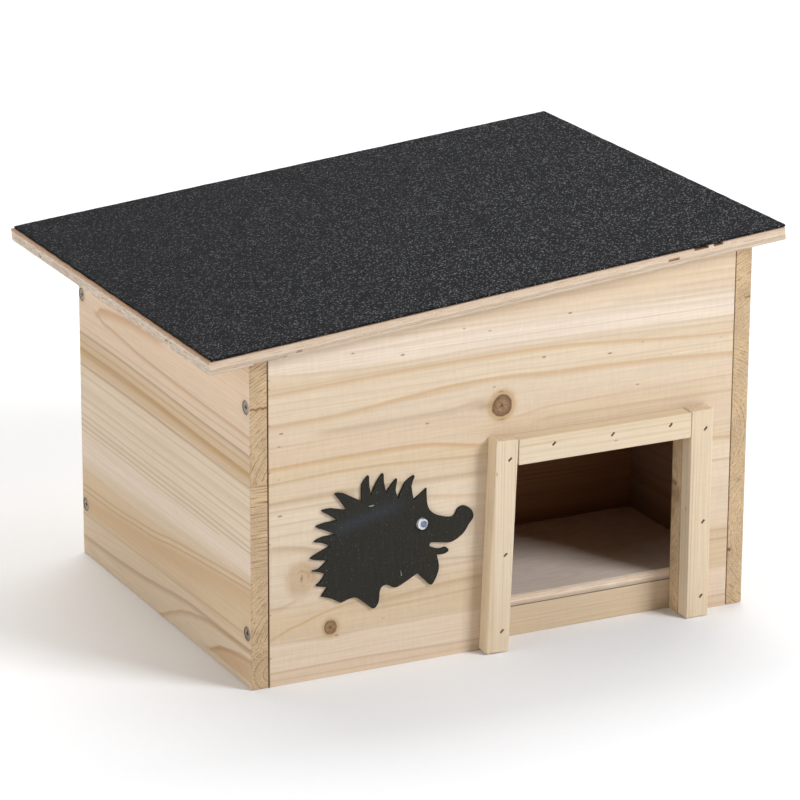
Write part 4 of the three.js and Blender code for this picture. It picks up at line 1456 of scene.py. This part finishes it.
# %% [markdown]
# ## Metal
# The countersunk screws are plated with zinc and passivated, which leaves a thin film that turns
# from violet to yellow over a few millimetres. Brads are bare steel driven below the surface, and
# their heads have gone brown. The frame's own shapes are right here, so they only get a finish.
# The recess in a screw head gets no light, so what lies under the wall's face is darkened.

# %% Mix the metals
def metal(name, shades, rough, patch, metallic=1.0, recessed=0):
    """Steel with two shades in patches of a size in mm. recessed is how dark a recess gets."""
    finish = Finish(name, Metallic=metallic)
    film = finish.rise(finish.speckle(finish.place, patch, 2, 4), 0.35, 0.65)
    scratch = finish.speckle(finish.place, (0.3, 2, 0.3), 2, 6)
    along = finish.place.parts()[0]
    under_face = WIDTH / 2 - abs(along - WIDTH / 2)
    recess = finish.rise(under_face, 0.45, 1.1)
    colour = finish.blend(linear(shades[0]), linear(shades[1]), film)
    finish.colour(colour * (0.8 + scratch * 0.4) * (1 - recess * recessed))
    finish.roughness(rough + scratch * 0.2)
    finish.relief(scratch, 0.03)
    return finish.material


zinc = metal("passivated_zinc", ("91879a", "b0a070"), rough=0.32, patch=4.5, recessed=0.85)
brad_steel = metal("brown_brad_steel", ("4a3220", "7a5a3c"), rough=0.6, patch=1.2, metallic=0.1)
staple_steel = metal("bright_staple_steel", ("6e6c66", "d0d0cb"), rough=0.3, patch=1.2)
hinge_steel = metal("zinc_hinge_steel", ("b4b6b8", "cfcfc9"), rough=0.35, patch=9)
for steel in (zinc, brad_steel, staple_steel, hinge_steel):
    print(steel.name, "has", len(steel.node_tree.nodes), "nodes")

# %% [markdown]
# ## The eye
# The eye is a craft eye: a white dish, a loose pupil and a clear cover over both. The cover bends
# light much less than solid plastic, because it is a thin shell, and its index of refraction is
# set low so that the pupil isn't magnified.

# %% Mix the plastics of the eye
def plastic(name, shades, speck, detail, rough, more, **constants):
    """Plastic with two shades in specks of a size in mm, duller by `more` where it is lighter."""
    finish = Finish(name, **constants)
    specks = finish.speckle(finish.place, speck, detail, 2)
    finish.colour(finish.blend(linear(shades[0]), linear(shades[1]), specks))
    finish.roughness(rough + specks * more)
    return finish.material


EYE = {
    "eye_base": plastic("eye_white_plastic", ("f4f5f8", "ffffff"), speck=1.5, detail=2,
                        rough=0.3, more=0.15, Coat_Weight=0.4),
    "eye_pupil": plastic("eye_pupil_plastic", ("6a7188", "8b90a2"), speck=0.8, detail=2,
                         rough=0.4, more=0.2),
    "eye_cover": plastic("eye_clear_plastic", ("f4f6fa", "ffffff"), speck=1.2, detail=3,
                         rough=0.05, more=0.12, Transmission_Weight=1.0, IOR=1.12),
}
print(f"{len(EYE)} plastics")

# %% [markdown]
# The small parts are told apart by their names in the frame. The screws of the hinges are as
# bright as the hinges, and all others have the zinc's coloured film.

# %% Give the small parts their finish
finished = 0
for name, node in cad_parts.items():
    if "hinge" in name:
        finish = hinge_steel
    elif "screw" in name:
        finish = zinc
    elif "brad" in name:
        finish = brad_steel
    elif "staple" in name:
        finish = staple_steel
    elif name in EYE:
        finish = EYE[name]
    else:
        continue
    node.data.materials.clear()
    node.data.materials.append(finish)
    finished += 1
print(f"{finished} small parts have their finish")

# %% [markdown]
# ## The studio
# The house stands on a wide sheet of white paper. Far out the paper glows a little, as a lit
# backdrop does, so that no view has a grey horizon. The glow only starts 1.8 m from the house, so
# it lights little near it and leaves its shadow alone.

# %% Lay out the paper
REACH = 14
GLOW_START, GLOW_FULL = 1800, 5000
paper = Finish("white_paper", (0, 0, 0), Specular_IOR_Level=0.1, Emission_Strength=0.9)
tooth = paper.speckle(paper.place, 4, 2, 1)
paper.colour(paper.blend(linear("fafafa"), linear("fdfdfd"), tooth))
paper.roughness(0.9 + tooth * 0.1)
along, deep = paper.place.parts()[:2]
glow = paper.rise(along.diagonal(deep), GLOW_START, GLOW_FULL)
paper.emission(paper.blend((0, 0, 0), (1, 1, 1), glow))

paper_mesh = bpy.data.meshes.new("studio_paper")
corners = [(-REACH, -REACH, 0), (REACH, -REACH, 0), (REACH, REACH, 0), (-REACH, REACH, 0)]
paper_mesh.from_pydata(corners, [], [(0, 1, 2, 3)])
paper_mesh.materials.append(paper.material)
studio_paper = bpy.data.objects.new("studio_paper", paper_mesh)
bpy.context.scene.collection.objects.link(studio_paper)
studio_paper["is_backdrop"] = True
print(f"{2 * REACH} m of paper")

# %% [markdown]
# The key light is a big softbox to the right of the camera and above it: it reaches in through
# the doorway and leaves the passage behind it nearly black. A second one far out on the left
# lights the low side. Two more hang over the house and over the paper behind it, to keep the
# paper white. With a bright sky all round instead, the inside would never be dark, so the sky
# only gives a trace of light.

# %% Light the studio
SKY_STRENGTH = 0.03
COOL_WHITE = (0.965, 0.99, 1.035)
WHITE = (1, 1, 1)
bpy.context.scene.view_settings.view_transform = "Standard"
world = bpy.data.worlds.new("studio")
bpy.context.scene.world = world
world.use_nodes = True
sky = world.node_tree.nodes["Background"]
sky.inputs["Color"].default_value = (*WHITE, 1)
sky.inputs["Strength"].default_value = SKY_STRENGTH


def softbox(name, place, aim, size, power, tint=WHITE):
    """A rectangular light at a place, turned to what it is aimed at. Lengths in m, power in W."""
    lamp = bpy.data.lights.new(name, "AREA")
    lamp.color = tint
    lamp.shape = "RECTANGLE"
    lamp.size, lamp.size_y = size
    lamp.energy = power
    holder = bpy.data.objects.new(name, lamp)
    bpy.context.scene.collection.objects.link(holder)
    holder.location = place
    holder.rotation_euler = (Vector(aim) - Vector(place)).to_track_quat("-Z", "Y").to_euler()
    print(f"{name}: {power} W")


HOUSE_MIDDLE = (0, 0, 0.15)
softbox("key_softbox", (1.7, -2.2, 1.84), HOUSE_MIDDLE, size=(1.2, 1.5), power=75.5, tint=COOL_WHITE)
softbox("side_softbox", (-2.6, -0.7, 1.0), HOUSE_MIDDLE, size=(1.6, 1.6), power=27)
softbox("top_softbox", (0.2, 0.6, 2.8), (0.1, 0.4, 0), size=(2.4, 2.4), power=28)
softbox("back_softbox", (1.0, 2.8, 3.2), (1.0, 2.8, 0), size=(5, 4), power=150)

# %% [markdown]
# ## The last step
# The finished house is measured, leaving out the paper, and its size is written down. What was
# added may not reach past the frame's box.

# %% Write the size of the house
low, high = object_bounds()
print("The finished house measures", [round(length / MM) for length in high - low], "mm")
